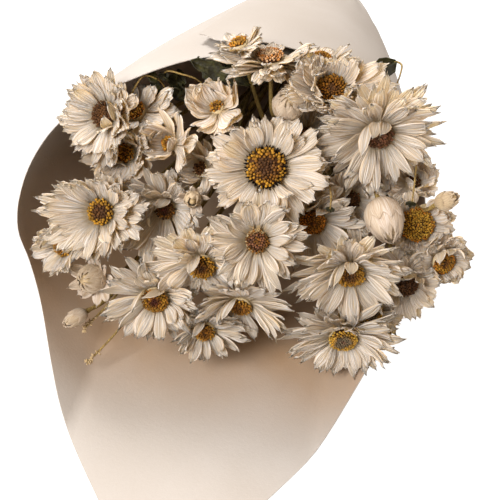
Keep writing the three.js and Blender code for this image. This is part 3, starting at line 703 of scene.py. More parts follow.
def neckSlots(count):
    slots = []
    pitch = bunch["stemPitch"]
    for row in range(-4, 5):
        for column in range(-4, 5):
            slots.append(Vector((pitch * (column + row / 2), 0, pitch * row * math.sin(math.pi / 3))))
    slots.sort(key=lambda slot: round(slot.length, 6))
    return slots[:count]


def neckPoints(slot):
    near = bunch["neck"] + slot + Vector((0, -bunch["neckHalf"], 0))
    far = bunch["neck"] + slot + Vector((0, bunch["neckHalf"], 0))
    end = bunch["neck"] + slot * bunch["cutEndSpread"] + Vector((0, 0, -bunch["cutEndDrop"]))
    end.y = min(cutEnds, key=lambda p: math.hypot(p.x - end.x, p.z - end.z)).y
    return [near, far, end]


def stemSlots(ends):
    # The outermost heads choose first, and each takes the free neck place nearest to its own side.
    free = neckSlots(len(ends))
    widest = free[-1].length
    middle, half = stemRule["middle"], stemRule["half"]
    wanted = []
    for i, end in enumerate(ends):
        want = Vector((widest * (end.x - middle[0]) / half[0], 0, widest * (end.z - middle[1]) / half[1]))
        wanted.append((want.length, i, want))
    slots = {}
    for _, i, want in sorted(wanted, key=lambda entry: -entry[0]):
        best = min(free, key=lambda slot: (slot - want).length)
        free.remove(best)
        slots[i] = best
    return slots


def stemPoints(head, slot):
    away = -head["facing"]
    base = head["base"] + away * stemRule["seat"]
    near, far, end = neckPoints(slot)
    fanZ = bunch["neck"].z + stemRule["fanLift"]
    best = None
    for straight in stemRule["straights"]:
        leaves = base + away * straight
        for swingX, swingZ in stemRule["swings"]:
            fan = leaves.lerp(near, stemRule["fanAt"])
            fan.x = fan.x * stemRule["inward"] + swingX
            fan.z = fanZ + (fan.z - fanZ) * stemRule["inward"] + swingZ
            points = [base, leaves, fan, near, far, end]
            off = sum(stemTree.find_nearest(curvePoint(points, s))[3] for s in stemRule["stations"])
            if best is None or off < best[0]:
                best = (off, points)
    return best[1]


def stemRadius(share):
    # Thinner towards the head, with a small collar where it meets it.
    collar = stemRule["collar"] if share < stemRule["collarEnd"] else 1
    return bunch["stemRadius"] * (stemRule["thinnest"] + stemRule["taper"] * share) * collar


def allStems():
    body = newBody()
    heads = openHeads + budHeads
    slots = stemSlots([head["base"] for head in heads] + [sprigs[0]["tip"]])
    count = stemRule["points"]
    for i, head in enumerate(heads):
        points = stemPoints(head, slots[i])
        head["stemPoints"] = points
        line = [curvePoint(points, k / count) for k in range(count + 1)]
        tube(body, line, stemRadius, tone=dice.random())
    for sprig in sprigs:
        near, far, end = neckPoints(slots[len(heads)])
        fan = sprig["knee"].lerp(near, 0.45)
        sprig["line"] = [sprig["tip"], sprig["knee"], fan, near, far, end]
        line = [curvePoint(sprig["line"], k / count) for k in range(count + 1)]
        tube(body, line, lambda share: 0.4 + 0.5 * share, tone=0.1, sides=1)
    stand("stems", body)
    setDown("stemBundle", body, ["straw_stem"], ["stems"])


allStems()
print("stems bundled")

# Blades: a petal, scale or leaf is one small grid, narrow at its root, wider past its middle and pointed.
blade = {
    "across": 8,
    "along": 8,
    "pointed": [(0, 0.32), (0.25, 0.68), (0.45, 0.96), (0.58, 1.0), (0.75, 0.76), (0.88, 0.42), (1, 0.02)],
    "blunt": [(0, 0.34), (0.3, 0.66), (0.6, 0.93), (0.82, 1.0), (0.94, 0.86), (1, 0.6)],
    "tipCrowding": 1.3,
    "tip": (0.6, 1),
    "toothed": (0.82, 1),
    # Depths are shares of the length. A blunt blade has deeper teeth.
    "toothDepth": 0.06,
    "bluntDepth": 0.14,
    "rounding": 0.05,
    "waves": 9,
}


def gridTemplate(across, along):
    body = bmesh.new()
    bmesh.ops.create_grid(body, x_segments=across, y_segments=along, size=0.5)
    places = [(vert.co.x, vert.co.y + 0.5) for vert in body.verts]
    faces = [[vert.index for vert in face.verts] for face in body.faces]
    body.free()
    return {"across": across, "along": along, "places": places, "faces": faces}


bladeGrid = gridTemplate(blade["across"], blade["along"])


def addGrid(body, grid, points, tone, materialIndex=0):
    made = bmesh.ops.create_grid(body, x_segments=grid["across"], y_segments=grid["along"], size=0.5)
    uv = body.loops.layers.uv["blade"]
    toneLayer = body.verts.layers.float["tone"]
    faces = set()
    where = {}
    for vert, point, place in zip(made["verts"], points, grid["places"]):
        where[vert] = (place[0] + 0.5, place[1])
        vert.co = point
        vert[toneLayer] = tone
        faces.update(vert.link_faces)
    for face in faces:
        face.material_index = materialIndex
        for loop in face.loops:
            loop[uv].uv = where[loop.vert]


def bladePoints(setting, shape):
    # The blade's points in the bunch, where the setting is that of the head whose rim holds its root.
    bearing = math.radians(shape["bearing"])
    out = Vector((math.cos(bearing), math.sin(bearing), 0))
    up = Vector((0, 0, 1))
    side = up.cross(out)
    rows = blade["along"]
    centre = out * shape["rootRadius"] - up * shape["rootDrop"]
    stations = [0]
    centres = [centre.copy()]
    rises = [math.radians(shape["rise"])]
    for row in range(1, rows + 1):
        s = 1 - (1 - row / rows) ** blade["tipCrowding"]
        step = s - stations[-1]
        middle = stations[-1] + step / 2
        bent = shape["rise"] + shape["curl"] * middle + shape["tipCurl"] * ease(*blade["tip"], middle)
        rise = math.radians(bent)
        centre = centre + (out * math.cos(rise) + up * math.sin(rise)) * step * shape["length"]
        centre += side * shape["lean"] * step * shape["length"] * 2 * s
        stations.append(s)
        centres.append(centre.copy())
        rises.append(rise)
    points = []
    for u, v in bladeGrid["places"]:
        row = int(v * rows + 0.5)
        s = stations[row]
        rise = rises[row]
        upper = up * math.cos(rise) - out * math.sin(rise)
        ahead = out * math.cos(rise) + up * math.sin(rise)
        pointed, blunt = through(blade["pointed"], s), through(blade["blunt"], s)
        width = shape["width"] * (pointed + (blunt - pointed) * shape["blunt"])
        edge = abs(2 * u)
        column = int((u + 0.5) * blade["across"] + 0.5)
        uneven = noise.noise(Vector((column * 1.7 + 0.3, shape["phase"] * 3.1, 7)))
        fold = shape["pleat"] * ((1 if column % 2 else -1) + uneven) * ease(0, 0.25, s)
        height = shape["cup"] * width * (edge * edge - 0.35) + fold
        twist = shape["twist"] * s
        wave = shape["wave"] * math.sin(blade["waves"] * s + shape["phase"]) * edge
        notch = 0 if column % 2 else shape["notch"]
        tooth = (blade["toothDepth"] + blade["bluntDepth"] * shape["blunt"]) * (0.5 + uneven) + notch
        reach = -shape["length"] * ease(*blade["toothed"], s) * (blade["rounding"] * edge * edge + tooth)
        x = u * width * math.cos(twist)
        z = height + wave + u * width * math.sin(twist)
        points.append(setting @ (centres[row] + side * x + upper * z + ahead * reach))
    return points


# A head's petals. Each tries its own rise first, then steps to either side of it, then grows shorter.
petalRule = {
    "riseSteps": [0, 6, -6, 12, -12, 19, -19, 27, -27, 36],
    "lengths": [1, 0.86, 0.72, 0.58],
    "steepest": 88,
    # A petal that steps aside comes no further up than this from where the head's petals keep.
    "raised": 40,
    "shortened": 0.6,
    "lowest": -60,
    "thickness": 0.12,
    # The root stands at this share of the rim.
    "rooted": 0.8,
    # Petals stand a little past the reach, since their tips curl and their lengths differ.
    "farther": 1.1,
    # How long petals are beside the head's farthest reach, and how much they differ from each other.
    "longer": {"daisy": 1.1, "cup": 1.4},
    "wild": {"daisy": 1, "cup": 0.5},
    # How far, in degrees, a petal's rise may be from its head's to meet the reach, and its limit.
    "aside": 45,
    "upright": 76,
}
plainBlade = {
    "lean": 0,
    "tipCurl": 0,
    "pleat": 0.24,
    "cup": 0.04,
    "twist": 0,
    "wave": 0,
    "phase": 0,
    "notch": 0,
    "blunt": 0,
}


def bladeShape(**given):
    return {**plainBlade, **given}


def clearBlade(head, shape):
    highest = min(petalRule["steepest"], head["open"] + petalRule["raised"])
    for part in petalRule["lengths"]:
        for step in petalRule["riseSteps"]:
            rise = shape["rise"] + step
            if not petalRule["lowest"] <= rise <= highest:
                continue
            points = bladePoints(head["stand"], {**shape, "rise": rise, "length": shape["length"] * part})
            if isClear(points, bladeGrid["faces"], head["name"]):
                return points
    return None


def reachAt(head, out):
    # How far the petals reach as seen, in mm, towards where this direction points in the picture.
    angle = math.atan2(out.dot(upward), out.dot(across))
    right, up, left, down = head["reach"]
    beside = math.cos(angle) / (right if math.cos(angle) > 0 else left)
    above = math.sin(angle) / (up if math.sin(angle) > 0 else down)
    return head["scale"] * petalRule["farther"] / math.hypot(beside, above)


def aimFor(head, bearing, length, root):
    # The length of a petal, and its rise in degrees from the head's flat, that bring it to its reach as
    # seen. One that would reach too far is made shorter by a part, and set steeper for the rest.
    out = head["right"] * math.cos(bearing) + head["top"] * math.sin(bearing)
    towards, ahead = out.dot(outward), head["facing"].dot(outward)
    steep = math.hypot(towards, ahead)
    tilted = math.atan2(towards, ahead)
    seenRoot = root * math.hypot(out.dot(across), out.dot(upward))
    wanted = max(reachAt(head, out) - seenRoot, 0.1 * length)
    natural = length * math.sqrt(1 - (steep * math.sin(math.radians(head["open"]) + tilted)) ** 2)
    if wanted < natural:
        length *= max((wanted / natural) ** petalRule["shortened"], 0.5)
    share = min(wanted / length, 1)
    leaning = math.asin(min(math.sqrt(1 - share * share) / steep, 1))
    rises = [math.degrees(way * leaning - tilted) for way in (1, -1)]
    best = min(rises, key=lambda rise: abs(rise - head["open"]))
    flattest = head["open"] - petalRule["aside"]
    steepest = min(head["open"] + petalRule["aside"], petalRule["upright"])
    return length, min(max(best, flattest), steepest)


def petalRings(head):
    # From the outer ring inwards. A cup has no third ring.
    outer = head["petals"]
    rings = [
        {"count": outer, "rise": 0, "length": 1.0, "drop": 2.2, "spread": 5},
        {"count": outer - 2, "rise": 7, "length": 0.95, "drop": 1.4, "spread": 7},
        {"count": outer - 5, "rise": 15, "length": 0.82, "drop": 0.6, "spread": 10},
    ]
    return rings if head["kind"] == "daisy" else rings[:2]


def petalsOf(head, body):
    rim = head["disc"] + bunch["rim"]
    root = rim * petalRule["rooted"]
    reach = max(head["reach"]) * head["scale"] * petalRule["longer"][head["kind"]] - root
    wild = petalRule["wild"][head["kind"]]
    missing = 0
    for ring in petalRings(head):
        phase = dice.random()
        for i in range(ring["count"]):
            bearing = (i + phase + dice.uniform(-0.32, 0.32)) / ring["count"] * 2 * math.pi
            curl = head["curl"] + dice.gauss(0, 12) * wild
            length, rise = aimFor(head, bearing, reach, root)
            rise += ring["rise"] * math.cos(math.radians(rise)) - curl / 2
            shape = bladeShape(
                bearing=math.degrees(bearing),
                rise=rise + dice.gauss(0, ring["spread"]) * wild,
                curl=curl,
                tipCurl=dice.gauss(0, 16) * wild,
                length=length * ring["length"] * dice.uniform(0.8, 1.06),
                width=head["width"] * dice.uniform(0.7, 1.15),
                rootRadius=root,
                rootDrop=ring["drop"],
                lean=dice.gauss(0, 0.1) * wild,
                cup=dice.uniform(-0.08, 0.1),
                twist=dice.gauss(0, 0.45) * wild,
                wave=dice.uniform(0, 0.5),
                phase=dice.uniform(0, 6),
                notch=dice.choice([0, 0.03, 0.06, 0.1]),
                blunt=head["blunt"] * dice.uniform(0.1, 1.1),
            )
            points = clearBlade(head, shape)
            if points:
                addGrid(body, bladeGrid, points, dice.random())
            else:
                missing += 1
    return missing


def foldedPetals(head, body):
    # Small inner petals that fold in over the disc.
    rim = head["disc"] + bunch["rim"]
    for bearing in head["over"]:
        shape = bladeShape(
            bearing=bearing,
            rise=dice.uniform(48, 66),
            curl=dice.uniform(45, 75),
            tipCurl=dice.uniform(-30, 20),
            length=head["disc"] * dice.uniform(1.9, 2.8),
            width=head["width"] * dice.uniform(0.7, 0.95),
            rootRadius=rim * 0.9,
            rootDrop=0.2,
            cup=-0.06,
            lean=dice.uniform(0.1, 0.5),
            twist=dice.gauss(0, 0.4),
            phase=dice.uniform(0, 6),
        )
        points = bladePoints(head["stand"], shape)
        if isClear(points, bladeGrid["faces"], head["name"]):
            addGrid(body, bladeGrid, points, dice.random() * 0.4)


# The calyx under a head: a cup on the stem, covered with short papery scales. Their length and width are
# for a rim of 6 mm.
calyxRule = {"sides": 14, "foot": 1.5, "brim": 0.86, "rings": 2, "scales": 9, "length": 4.6, "width": 3.4}


def calyxOf(head, body):
    rim = head["disc"] + bunch["rim"]
    depth = bunch["calyxDepth"]
    cup = bmesh.ops.create_cone(
        body, cap_ends=True, cap_tris=False, segments=calyxRule["sides"],
        radius1=calyxRule["foot"], radius2=rim * calyxRule["brim"], depth=depth - 0.4,
        matrix=head["stand"] @ Matrix.Translation((0, 0, -depth / 2 - 0.2)),
    )
    for face in {face for vert in cup["verts"] for face in vert.link_faces}:
        face.material_index = 1
    slope = math.degrees(math.atan2(depth - 1.4, rim - 1.6))
    for ring in range(calyxRule["rings"]):
        for i in range(calyxRule["scales"]):
            shape = bladeShape(
                bearing=(i + 0.5 * ring) * 360 / calyxRule["scales"] + dice.uniform(-6, 6),
                rise=slope - 4 - 6 * ring,
                curl=-18 - 10 * ring,
                length=(calyxRule["length"] + 1.8 * ring) * rim / 6,
                width=calyxRule["width"] * rim / 6,
                rootRadius=calyxRule["foot"] + 0.5 * ring,
                rootDrop=depth - 0.1 - 0.9 * ring,
                pleat=0.08,
                cup=0.05,
            )
            addGrid(body, bladeGrid, bladePoints(head["stand"], shape), dice.random(), materialIndex=1)


# Discs: a low dome set with florets along the spiral of a real flower head. In a look, the ramp gives the
# colours from the centre to the edge, and tall how far the florets stand out. Coarse is their size, gaps
# the share of them that is missing towards the edge, and teeth how many dark points stand round it.
shades = {
    "black": tint(38, 24, 14),
    "brown": tint(84, 52, 22),
    "umber": tint(112, 74, 36),
    "red": tint(92, 40, 18),
    "amber": tint(156, 102, 30),
    "gold": tint(204, 150, 50),
    "bright": tint(236, 190, 80),
    "orange": tint(212, 132, 44),
    "tan": tint(206, 168, 124),
    "pink": tint(214, 182, 146),
    "grey": tint(128, 110, 84),
    "plum": tint(146, 98, 72),
}
floretLooks = {
    "goldOnBlack": {
        "ramp": ["brown", "brown", "umber", "amber", "gold", "gold"],
        "tall": 0.6,
        "coarse": 1.3,
        "gaps": 0.22,
        "teeth": 36,
    },
    "plum": {"ramp": ["grey", "plum", "plum", "umber", "plum"], "tall": 0.8},
    "goldBeads": {"ramp": ["umber", "brown", "umber", "gold", "gold"], "tall": 0.45, "coarse": 1.25},
    "goldStamens": {"ramp": ["brown", "umber", "amber", "gold", "gold"], "tall": 1.3},
    "greyDome": {"ramp": ["umber", "amber", "plum", "umber", "amber"], "tall": 0.5},
    "redCentre": {"ramp": ["red", "red", "amber", "gold", "amber"], "tall": 0.7},
    "amberBrush": {"ramp": ["brown", "umber", "amber", "amber", "gold"], "tall": 1.5},
    "pinkTan": {"ramp": ["pink", "tan", "pink", "orange", "pink"], "tall": 0.6},
    "goldRing": {"ramp": ["plum", "grey", "grey", "gold", "bright"], "tall": 0.7},
    "redBrown": {"ramp": ["red", "red", "brown", "amber", "brown"], "tall": 0.6},
    "rust": {"ramp": ["red", "amber", "amber", "orange", "amber"], "tall": 0.8},
    "amber": {"ramp": ["brown", "amber", "amber", "gold"], "tall": 0.7},
    "umber": {"ramp": ["brown", "umber", "brown", "umber"], "tall": 0.8},
    "orange": {"ramp": ["umber", "amber", "gold", "orange"], "tall": 0.7},
    "goldField": {"ramp": ["orange", "bright", "gold", "bright", "orange"], "tall": 0.7},
}
discRule = {
    "perArea": 1.5,
    "dome": 0.36,
    "bottom": {"daisy": 0.3, "cup": -0.6},
    # The dome's own share of the disc's radius and height, and how far out the florets go.
    "domeWidth": 0.94,
    "domeHeight": 0.9,
    "floretsOut": 0.96,
    "golden": math.pi * (3 - math.sqrt(5)),
    "floret": 0.46,
    "foot": 0.7,
    "sunk": 0.25,
    "shift": 0.1,
    "edgeTilt": 0.75,
    "gapsFrom": (0.3, 0.6),
    "tallFrom": (0.15, 0.7),
    "brightness": (0.55, 1.35),
    "footShade": 0.35,
}
toothRule = {"foot": 0.5, "tip": 0.2, "length": (1.4, 2.2), "tilt": (0.3, 0.9), "raised": 0.2, "out": 0.5}


def mixedShade(names, share):
    place = min(max(share, 0), 0.999) * (len(names) - 1)
    low, high = shades[names[int(place)]], shades[names[int(place) + 1]]
    part = place - int(place)
    return [a + (b - a) * part for a, b in zip(low, high)]


def addCone(body, setting, low, high, depth):
    made = bmesh.ops.create_cone(
        body, cap_ends=True, cap_tris=True, segments=5,
        radius1=low, radius2=high, depth=depth, matrix=setting,
    )
    return made["verts"]


def addFloret(body, colourLayer, head, look, share, angle, bottom):
    radius = head["disc"]
    out = radius * discRule["floretsOut"] * share
    height = bottom + radius * discRule["dome"] * math.sqrt(max(1 - share * share, 0.02))
    tilted = share * discRule["edgeTilt"] + dice.gauss(0, 0.12)
    tilt = Matrix.Rotation(angle, 4, "Z") @ Matrix.Rotation(tilted, 4, "Y")
    size = discRule["floret"] * look["coarse"] * dice.uniform(0.7, 1.15)
    tall = 0.4 + look["tall"] * dice.uniform(0.5, 1.1) * ease(*discRule["tallFrom"], share)
    shift = discRule["shift"] * look["coarse"]
    x = out * math.cos(angle) + dice.gauss(0, shift)
    y = out * math.sin(angle) + dice.gauss(0, shift)
    seat = Matrix.Translation((x, y, height))
    sunk = discRule["sunk"]
    setting = head["stand"] @ seat @ tilt @ Matrix.Translation((0, 0, tall / 2 - sunk))
    made = addCone(body, setting, size * discRule["foot"], size, tall + 2 * sunk)
    # Its foot is painted darker, as painted shade from its neighbours.
    colour = mixedShade(look["ramp"], share + dice.gauss(0, 0.07))
    bright = dice.uniform(*discRule["brightness"])
    level = head["stand"] @ seat.translation
    for vert in made:
        raised = (vert.co - level).dot(head["facing"]) > 0
        light = bright if raised else bright * discRule["footShade"]
        vert[colourLayer] = [c * light for c in colour[:3]] + [1]


def addTeeth(body, colourLayer, head, count, bottom):
    radius = head["disc"]
    for i in range(count):
        angle = 2 * math.pi * (i + dice.uniform(-0.3, 0.3)) / count
        tilt = Matrix.Rotation(angle, 4, "Z") @ Matrix.Rotation(dice.uniform(*toothRule["tilt"]), 4, "Y")
        height = bottom + toothRule["raised"]
        edge = Matrix.Translation((radius * math.cos(angle), radius * math.sin(angle), height))
        setting = head["stand"] @ edge @ tilt @ Matrix.Translation((0, 0, toothRule["out"]))
        length = dice.uniform(*toothRule["length"])
        for vert in addCone(body, setting, toothRule["foot"], toothRule["tip"], length):
            vert[colourLayer] = shades["black"]


def discOf(head, name, nodes):
    body = newBody()
    colourLayer = body.verts.layers.float_color.new("floretColour")
    look = {"coarse": 1, "gaps": 0, "teeth": 0, **floretLooks[head["florets"]]}
    radius = head["disc"]
    bottom = discRule["bottom"][head["kind"]]
    wide = radius * discRule["domeWidth"]
    domed = Matrix.Diagonal((wide, wide, radius * discRule["dome"] * discRule["domeHeight"], 1))
    dome = bmesh.ops.create_uvsphere(
        body, u_segments=18, v_segments=8, radius=1,
        matrix=head["stand"] @ Matrix.Translation((0, 0, bottom)) @ domed,
    )
    for vert in dome["verts"]:
        vert[colourLayer] = shades["brown"]
    count = int(discRule["perArea"] * math.pi * radius * radius / look["coarse"] ** 2)
    for i in range(count):
        share = math.sqrt((i + 0.5) / count)
        if dice.random() >= look["gaps"] * ease(*discRule["gapsFrom"], share):
            addFloret(body, colourLayer, head, look, share, i * discRule["golden"], bottom)
    addTeeth(body, colourLayer, head, look["teeth"], bottom)
    stand(head["name"], body)
    setDown(name, body, ["floret_gold"], nodes)


# Buds and pods: scales that wrap an egg, one layer over the other, the outer ones shorter.
budRule = {
    "layers": (0.98, 0.9, 0.6),
    "outline": [(0, 0.5), (0.4, 1), (0.75, 0.8), (1, 0.08)],
    "overlap": 1.7,
    "slim": 0.35,
    "inset": 0.5,
    "coreHeight": 0.93,
    "skirtWidth": 0.36,
    "thickness": 0.18,
}


def eggPoint(bud, s, bearing, lift):
    y = 2 * min(max(s, 0), 1) - 1
    slim = 1 - budRule["slim"] * s * s
    radius = (bud["width"] / 2 - budRule["inset"]) * slim * math.sqrt(max(1 - y * y, 0)) + lift
    radius = max(radius, bud["width"] * bud["mouth"] * ease(0.7, 1, s))
    height = bud["length"] * s + lift * (s - 0.4)
    return Vector((radius * math.cos(bearing), radius * math.sin(bearing), height))


def budPiece(bud):
    body = newBody()
    toneLayer = body.verts.layers.float["tone"]
    core = bmesh.ops.create_uvsphere(body, u_segments=12, v_segments=8, radius=1)
    closed = {**bud, "mouth": 0}
    for vert in core["verts"]:
        bearing = math.atan2(vert.co.y, vert.co.x)
        s = (vert.co.z + 1) / 2 * budRule["coreHeight"]
        vert.co = bud["stand"] @ eggPoint(closed, s, bearing, -0.5)
        vert[toneLayer] = bud["tint"]
    half = math.pi / bud["bracts"] * budRule["overlap"]
    for layer, share in enumerate(budRule["layers"]):
        for i in range(bud["bracts"]):
            middle = (i + layer / 3 + dice.uniform(-0.1, 0.1)) / bud["bracts"] * 2 * math.pi
            length = share * dice.uniform(0.94, 1.04)
            points = []
            for u, v in bladeGrid["places"]:
                wide = through(budRule["outline"], v)
                lift = 0.25 * (layer + 1) + 0.2 * ease(0.75, 1, v) - 0.2 * abs(2 * u) ** 2
                points.append(bud["stand"] @ eggPoint(bud, v * length, middle + 2 * u * half * wide, lift))
            addGrid(body, bladeGrid, points, min(max(bud["tint"] + dice.uniform(-0.25, 0.25), 0), 1))
    for i in range(bud["skirt"]):
        shape = bladeShape(
            bearing=(i + dice.uniform(-0.3, 0.3)) / bud["skirt"] * 360,
            rise=dice.uniform(8, 40),
            curl=dice.uniform(-10, 30),
            length=bud["width"] * dice.uniform(0.75, 1.05),
            width=bud["width"] * budRule["skirtWidth"],
            rootRadius=1.2,
            rootDrop=-dice.uniform(0.8, 2.0),
            twist=dice.gauss(0, 0.4),
            phase=dice.uniform(0, 6),
        )
        points = bladePoints(bud["stand"], shape)
        if isClear(points, bladeGrid["faces"], bud["name"]):
            addGrid(body, bladeGrid, points, dice.uniform(0, 0.4))
    stand(bud["name"], body)
    name = "bracts_" + bud["name"]
    setDown(name, body, ["bud_scale"], [bud["name"]], budRule["thickness"])


# Leaves: dark, lobed and curled, from the root to the tip that the frame's leaves have.
leafRule = {
    "across": 8,
    "along": 12,
    "outline": [(0, 0.12), (0.25, 0.8), (0.6, 1), (0.9, 0.6), (1, 0.1)],
    "thickness": 0.3,
    "lobes": 3.5,
    "lobeDepth": 0.2,
    "curl": 2.2,
    "crease": 0.5,
    "midrib": 0.3,
}
leafGrid = gridTemplate(leafRule["across"], leafRule["along"])


def leafPiece(node, width):
    corners = [toBunch @ v.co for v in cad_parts[node].data.vertices]
    root = min(corners, key=lambda p: min((p - q).length for q in stemLine))
    tip = max(corners, key=lambda p: (p - root).length)
    way = tip - root
    side = outward.cross(way).normalized()
    upper = way.normalized().cross(side)
    points = []
    for u, v in leafGrid["places"]:
        lobe = math.sin(v * leafRule["lobes"] * 2 * math.pi + (1.2 if u > 0 else 0))
        wide = width * through(leafRule["outline"], v) * (1 + leafRule["lobeDepth"] * lobe)
        curl = leafRule["curl"] * ((2 * u) ** 2 * 0.6 - 0.8 * v * v)
        crease = leafRule["crease"] * noise.noise(Vector((u * 5, v * 6, width)))
        midrib = leafRule["midrib"] if abs(u) < 0.02 else 0
        points.append(root + way * v + side * u * wide + upper * (curl + crease - midrib))
    body = newBody()
    addGrid(body, leafGrid, points, 0.5)
    stand(node, body)
    setDown("blade_" + node, body, ["dried_leaf"], [node], leafRule["thickness"])


stemLine = [curvePoint(head["stemPoints"], k / 40) for head in openHeads for k in range(30)]
for bud in budHeads:
    budPiece(bud)
for node, width in (("leaf_right", 10), ("leaf_left", 6)):
    leafPiece(node, width)
for head in daisyHeads:
    discOf(head, "florets_" + head["name"], [head["name"] + "_disc"])
for head in cupHeads:
    discOf(head, "florets_" + head["name"], [head["name"]])
print("buds, leaves and discs set")

for head in openHeads:
    body = newBody()
    calyxOf(head, body)
    missing = petalsOf(head, body)
    foldedPetals(head, body)
    stand(head["name"], body)
    node = head["name"] + "_petals" if head["kind"] == "daisy" else head["name"]
    setDown("petals_" + head["name"], body, ["petal", "calyx"], [node], petalRule["thickness"])
    print(head["name"], "petals left out:", missing)


# The sprigs' tiny dry buds, in tufts at these shares of a sprig's length.
tufts = {
    "at": (0, 0.006, 0.014, 0.03, 0.036, 0.06),
    "buds": 4,
    "halfWidth": 0.4,
    "halfLength": 0.9,
    "tone": 0.9,
}


def sprigBuds():
    body = newBody()
    toneLayer = body.verts.layers.float["tone"]
    oval = Matrix.Diagonal((tufts["halfWidth"], tufts["halfWidth"], tufts["halfLength"], 1))
    for sprig in sprigs:
        for share in tufts["at"]:
            middle = curvePoint(sprig["line"], share)
            for _ in range(tufts["buds"]):
                aim = Vector((dice.gauss(0, 1), dice.gauss(-0.5, 1), dice.gauss(0.6, 1))).normalized()
                turnTo = aim.to_track_quat("Z", "Y").to_matrix().to_4x4()
                seat = Matrix.Translation(middle + aim * tufts["halfLength"])
                made = bmesh.ops.create_icosphere(
                    body, subdivisions=1, radius=1, matrix=seat @ turnTo @ oval,
                )
                for vert in made["verts"]:
                    vert[toneLayer] = tufts["tone"]
    setDown("sprigBuds", body, ["bud_scale"], ["stems"])


sprigBuds()

# Thin stalks that show between the heads, and dark scraps of leaf there, some of which also stand in for
# shade. Places are across, up and lift.
wisps = [
    [(-48, 50, -14), (-43.7, 58.1, -4), (-39.2, 64.4, -1), (-34.0, 62.9, -4), (-30, 58, -12)],
    [(-34, 60, -16), (-30.7, 66.2, -4), (-25.5, 65.1, -2), (-20.0, 63.3, -4), (-14, 58, -14)],
    [(44, 62, -10), (48.5, 69.9, 0), (55.9, 68.8, 3), (55.7, 65.3, 4), (52.9, 58.1, 2), (49, 50, -8)],
    [(61.8, 33, 2), (61.4, 29.6, 8), (60.7, 23.3, 9), (59.9, 17.2, 7)],
    [(28, 28, 0), (29.6, 23.7, 10), (30.0, 19.2, 11), (29.6, 14.4, 9)],
]
scraps = [
    {"at": (-34.5, 64.5, -4), "bearing": 200, "length": 5.5, "width": 3.4},
    {"at": (-31.5, 62.5, -6), "bearing": 80, "length": 4.5, "width": 3.0},
    {"at": (-16.5, 70.5, -3), "bearing": 240, "length": 5.5, "width": 3.6},
    # These larger scraps lie deep in the gap behind the upper heads: dark leaves that also stand in for the
    # shade there.
    {"at": (-37.0, 57.0, -12), "bearing": 20, "length": 9.0, "width": 5.0},
    {"at": (-28.0, 56.0, -13), "bearing": 60, "length": 9.0, "width": 5.5},
    {"at": (-24.0, 61.0, -12), "bearing": 160, "length": 9.0, "width": 5.0},
    {"at": (-17.0, 63.0, -12), "bearing": 30, "length": 10.0, "width": 5.5},
    {"at": (-8.0, 63.0, -10), "bearing": 70, "length": 9.0, "width": 5.0},
    {"at": (2.0, 61.0, -8), "bearing": 80, "length": 9.0, "width": 5.0},
    {"at": (29.8, 16.0, 9), "bearing": 260, "length": 2.6, "width": 1.7},
    {"at": (60.0, 18.0, 7.5), "bearing": 250, "length": 3.0, "width": 2.0},
]


def spot(place):
    sideways, height, lift = place
    scale = (bunch["sight"] - lift) / bunch["sight"]
    return bunch["headsMiddle"] + (across * sideways + upward * height) * scale + outward * lift


def strayStalks():
    body = newBody()
    for places in wisps:
        points = [spot(place) for place in places]
        line = [curvePoint(points, k / 24) for k in range(25)]
        tube(body, line, lambda share: 0.42 - 0.14 * share, tone=0.05, sides=1)
    setDown("strayStalks", body, ["straw_stem"], ["stems"])


def leafScraps():
    body = newBody()
    for scrap in scraps:
        setting = Matrix.Translation(spot(scrap["at"])) @ facingTo(across, upward, outward)
        for part in range(3):
            shape = bladeShape(
                bearing=scrap["bearing"] + 38 * (part - 1),
                rise=dice.uniform(-20, 50),
                curl=dice.uniform(20, 90),
                length=scrap["length"] * dice.uniform(0.7, 1),
                width=scrap["width"],
                rootRadius=0.3,
                rootDrop=0,
                twist=dice.gauss(0, 0.8),
                phase=dice.uniform(0, 6),
            )
            addGrid(body, bladeGrid, bladePoints(setting, shape), 0.5)
    setDown("leafScraps", body, ["dried_leaf"], ["stems"], 0.2)


hairs = {"head": 4, "count": 26, "radius": 0.09, "middle": 85, "spread": 22}


def hairTuft():
    # Dried hairs that lie over the upper edge of one disc.
    body = newBody()
    head = daisyHeads[hairs["head"]]
    for _ in range(hairs["count"]):
        bearing = math.radians(dice.gauss(hairs["middle"], hairs["spread"]))
        edge = Vector((math.cos(bearing), math.sin(bearing), 0.15)) * head["disc"]
        start = edge * dice.uniform(0.75, 1.05)
        swing = Vector((dice.gauss(0, 1.2), dice.gauss(0.6, 1.2), dice.uniform(1.2, 2.6)))
        points = [start, start + swing * 0.6, start + swing + Vector((dice.gauss(0, 0.7), 0.4, -0.3))]
        tube(body, [head["stand"] @ point for point in points], hairs["radius"], tone=0.3, sides=0)
    setDown("hairTuft", body, ["petal"], [head["name"] + "_disc"])


strayStalks()
leafScraps()
hairTuft()
print("sprigs and stray stalks done")

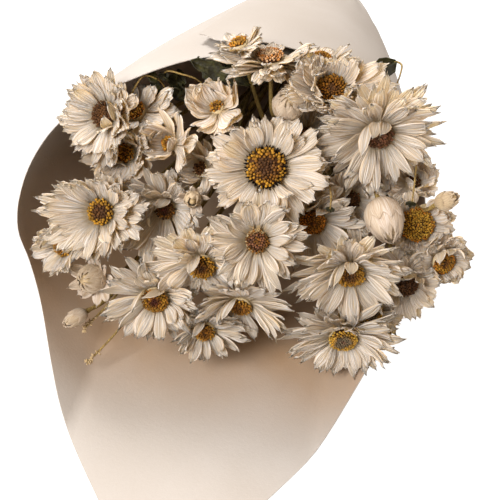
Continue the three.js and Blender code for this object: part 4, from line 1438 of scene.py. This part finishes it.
# The floor, the light and the camera. The floor glows white by itself, and the world adds a warm light.
studio = {
    "floorSize": 80,
    "floorColour": (0.2, 0.2, 0.2, 1),
    "floorGlow": 1.0,
    "world": 0.38,
    "worldColour": (1.0, 0.7, 0.4, 1),
    # The width of one pixel of the picture where the heads are, in mm.
    "pixel": 0.37,
    "image": 500,
    "lights": [
        {"name": "window", "at": (-260, 400, 820), "size": 0.4, "power": 10, "colour": (0.98, 0.99, 1.0)},
        {"name": "fill", "at": (-360, -660, 720), "size": 0.5, "power": 15, "colour": (0.98, 0.99, 1.0)},
    ],
}


def floorPiece():
    body = newBody()
    bmesh.ops.create_grid(body, x_segments=1, y_segments=1, size=studio["floorSize"] / 2)
    mesh = bpy.data.meshes.new("floor")
    body.to_mesh(mesh)
    body.free()
    paint = Finish("paleFloor", roughness=0.9, specular=0.1)
    paint.shade("Base Color", studio["floorColour"])
    paint.shade("Emission Color", (1, 1, 1, 1))
    paint.shade("Emission Strength", studio["floorGlow"])
    mesh.materials.append(paint.material)
    floor = bpy.data.objects.new("floor", mesh)
    bpy.context.scene.collection.objects.link(floor)


def lightUp():
    target = toRow @ bunch["headsMiddle"]
    for settings in studio["lights"]:
        lamp = bpy.data.lights.new(settings["name"], "AREA")
        lamp.energy = settings["power"]
        lamp.size = settings["size"]
        lamp.color = settings["colour"]
        light = bpy.data.objects.new(settings["name"], lamp)
        light.location = toRow @ Vector(settings["at"])
        light.rotation_euler = (light.location - target).to_track_quat("Z", "Y").to_euler()
        bpy.context.scene.collection.objects.link(light)
    world = bpy.data.worlds.new("studio")
    world.use_nodes = True
    world.node_tree.nodes["Background"].inputs["Color"].default_value = studio["worldColour"]
    world.node_tree.nodes["Background"].inputs["Strength"].default_value = studio["world"]
    bpy.context.scene.world = world
    bpy.context.scene.view_settings.view_transform = "Standard"


def lookFrom():
    lens = bpy.data.cameras.new("eye")
    lens.sensor_fit = "HORIZONTAL"
    lens.angle = 2 * math.atan(studio["image"] / 2 * studio["pixel"] / bunch["sight"])
    lens.clip_start = 0.01
    camera = bpy.data.objects.new("eye", lens)
    eye = toRow @ (bunch["headsMiddle"] + outward * bunch["sight"])
    camera.matrix_world = Matrix.Translation(eye) @ facingTo(across, upward, outward)
    bpy.context.scene.collection.objects.link(camera)
    bpy.context.scene.camera = camera


floorPiece()
lightUp()
lookFrom()
print("floor, lights and camera set")
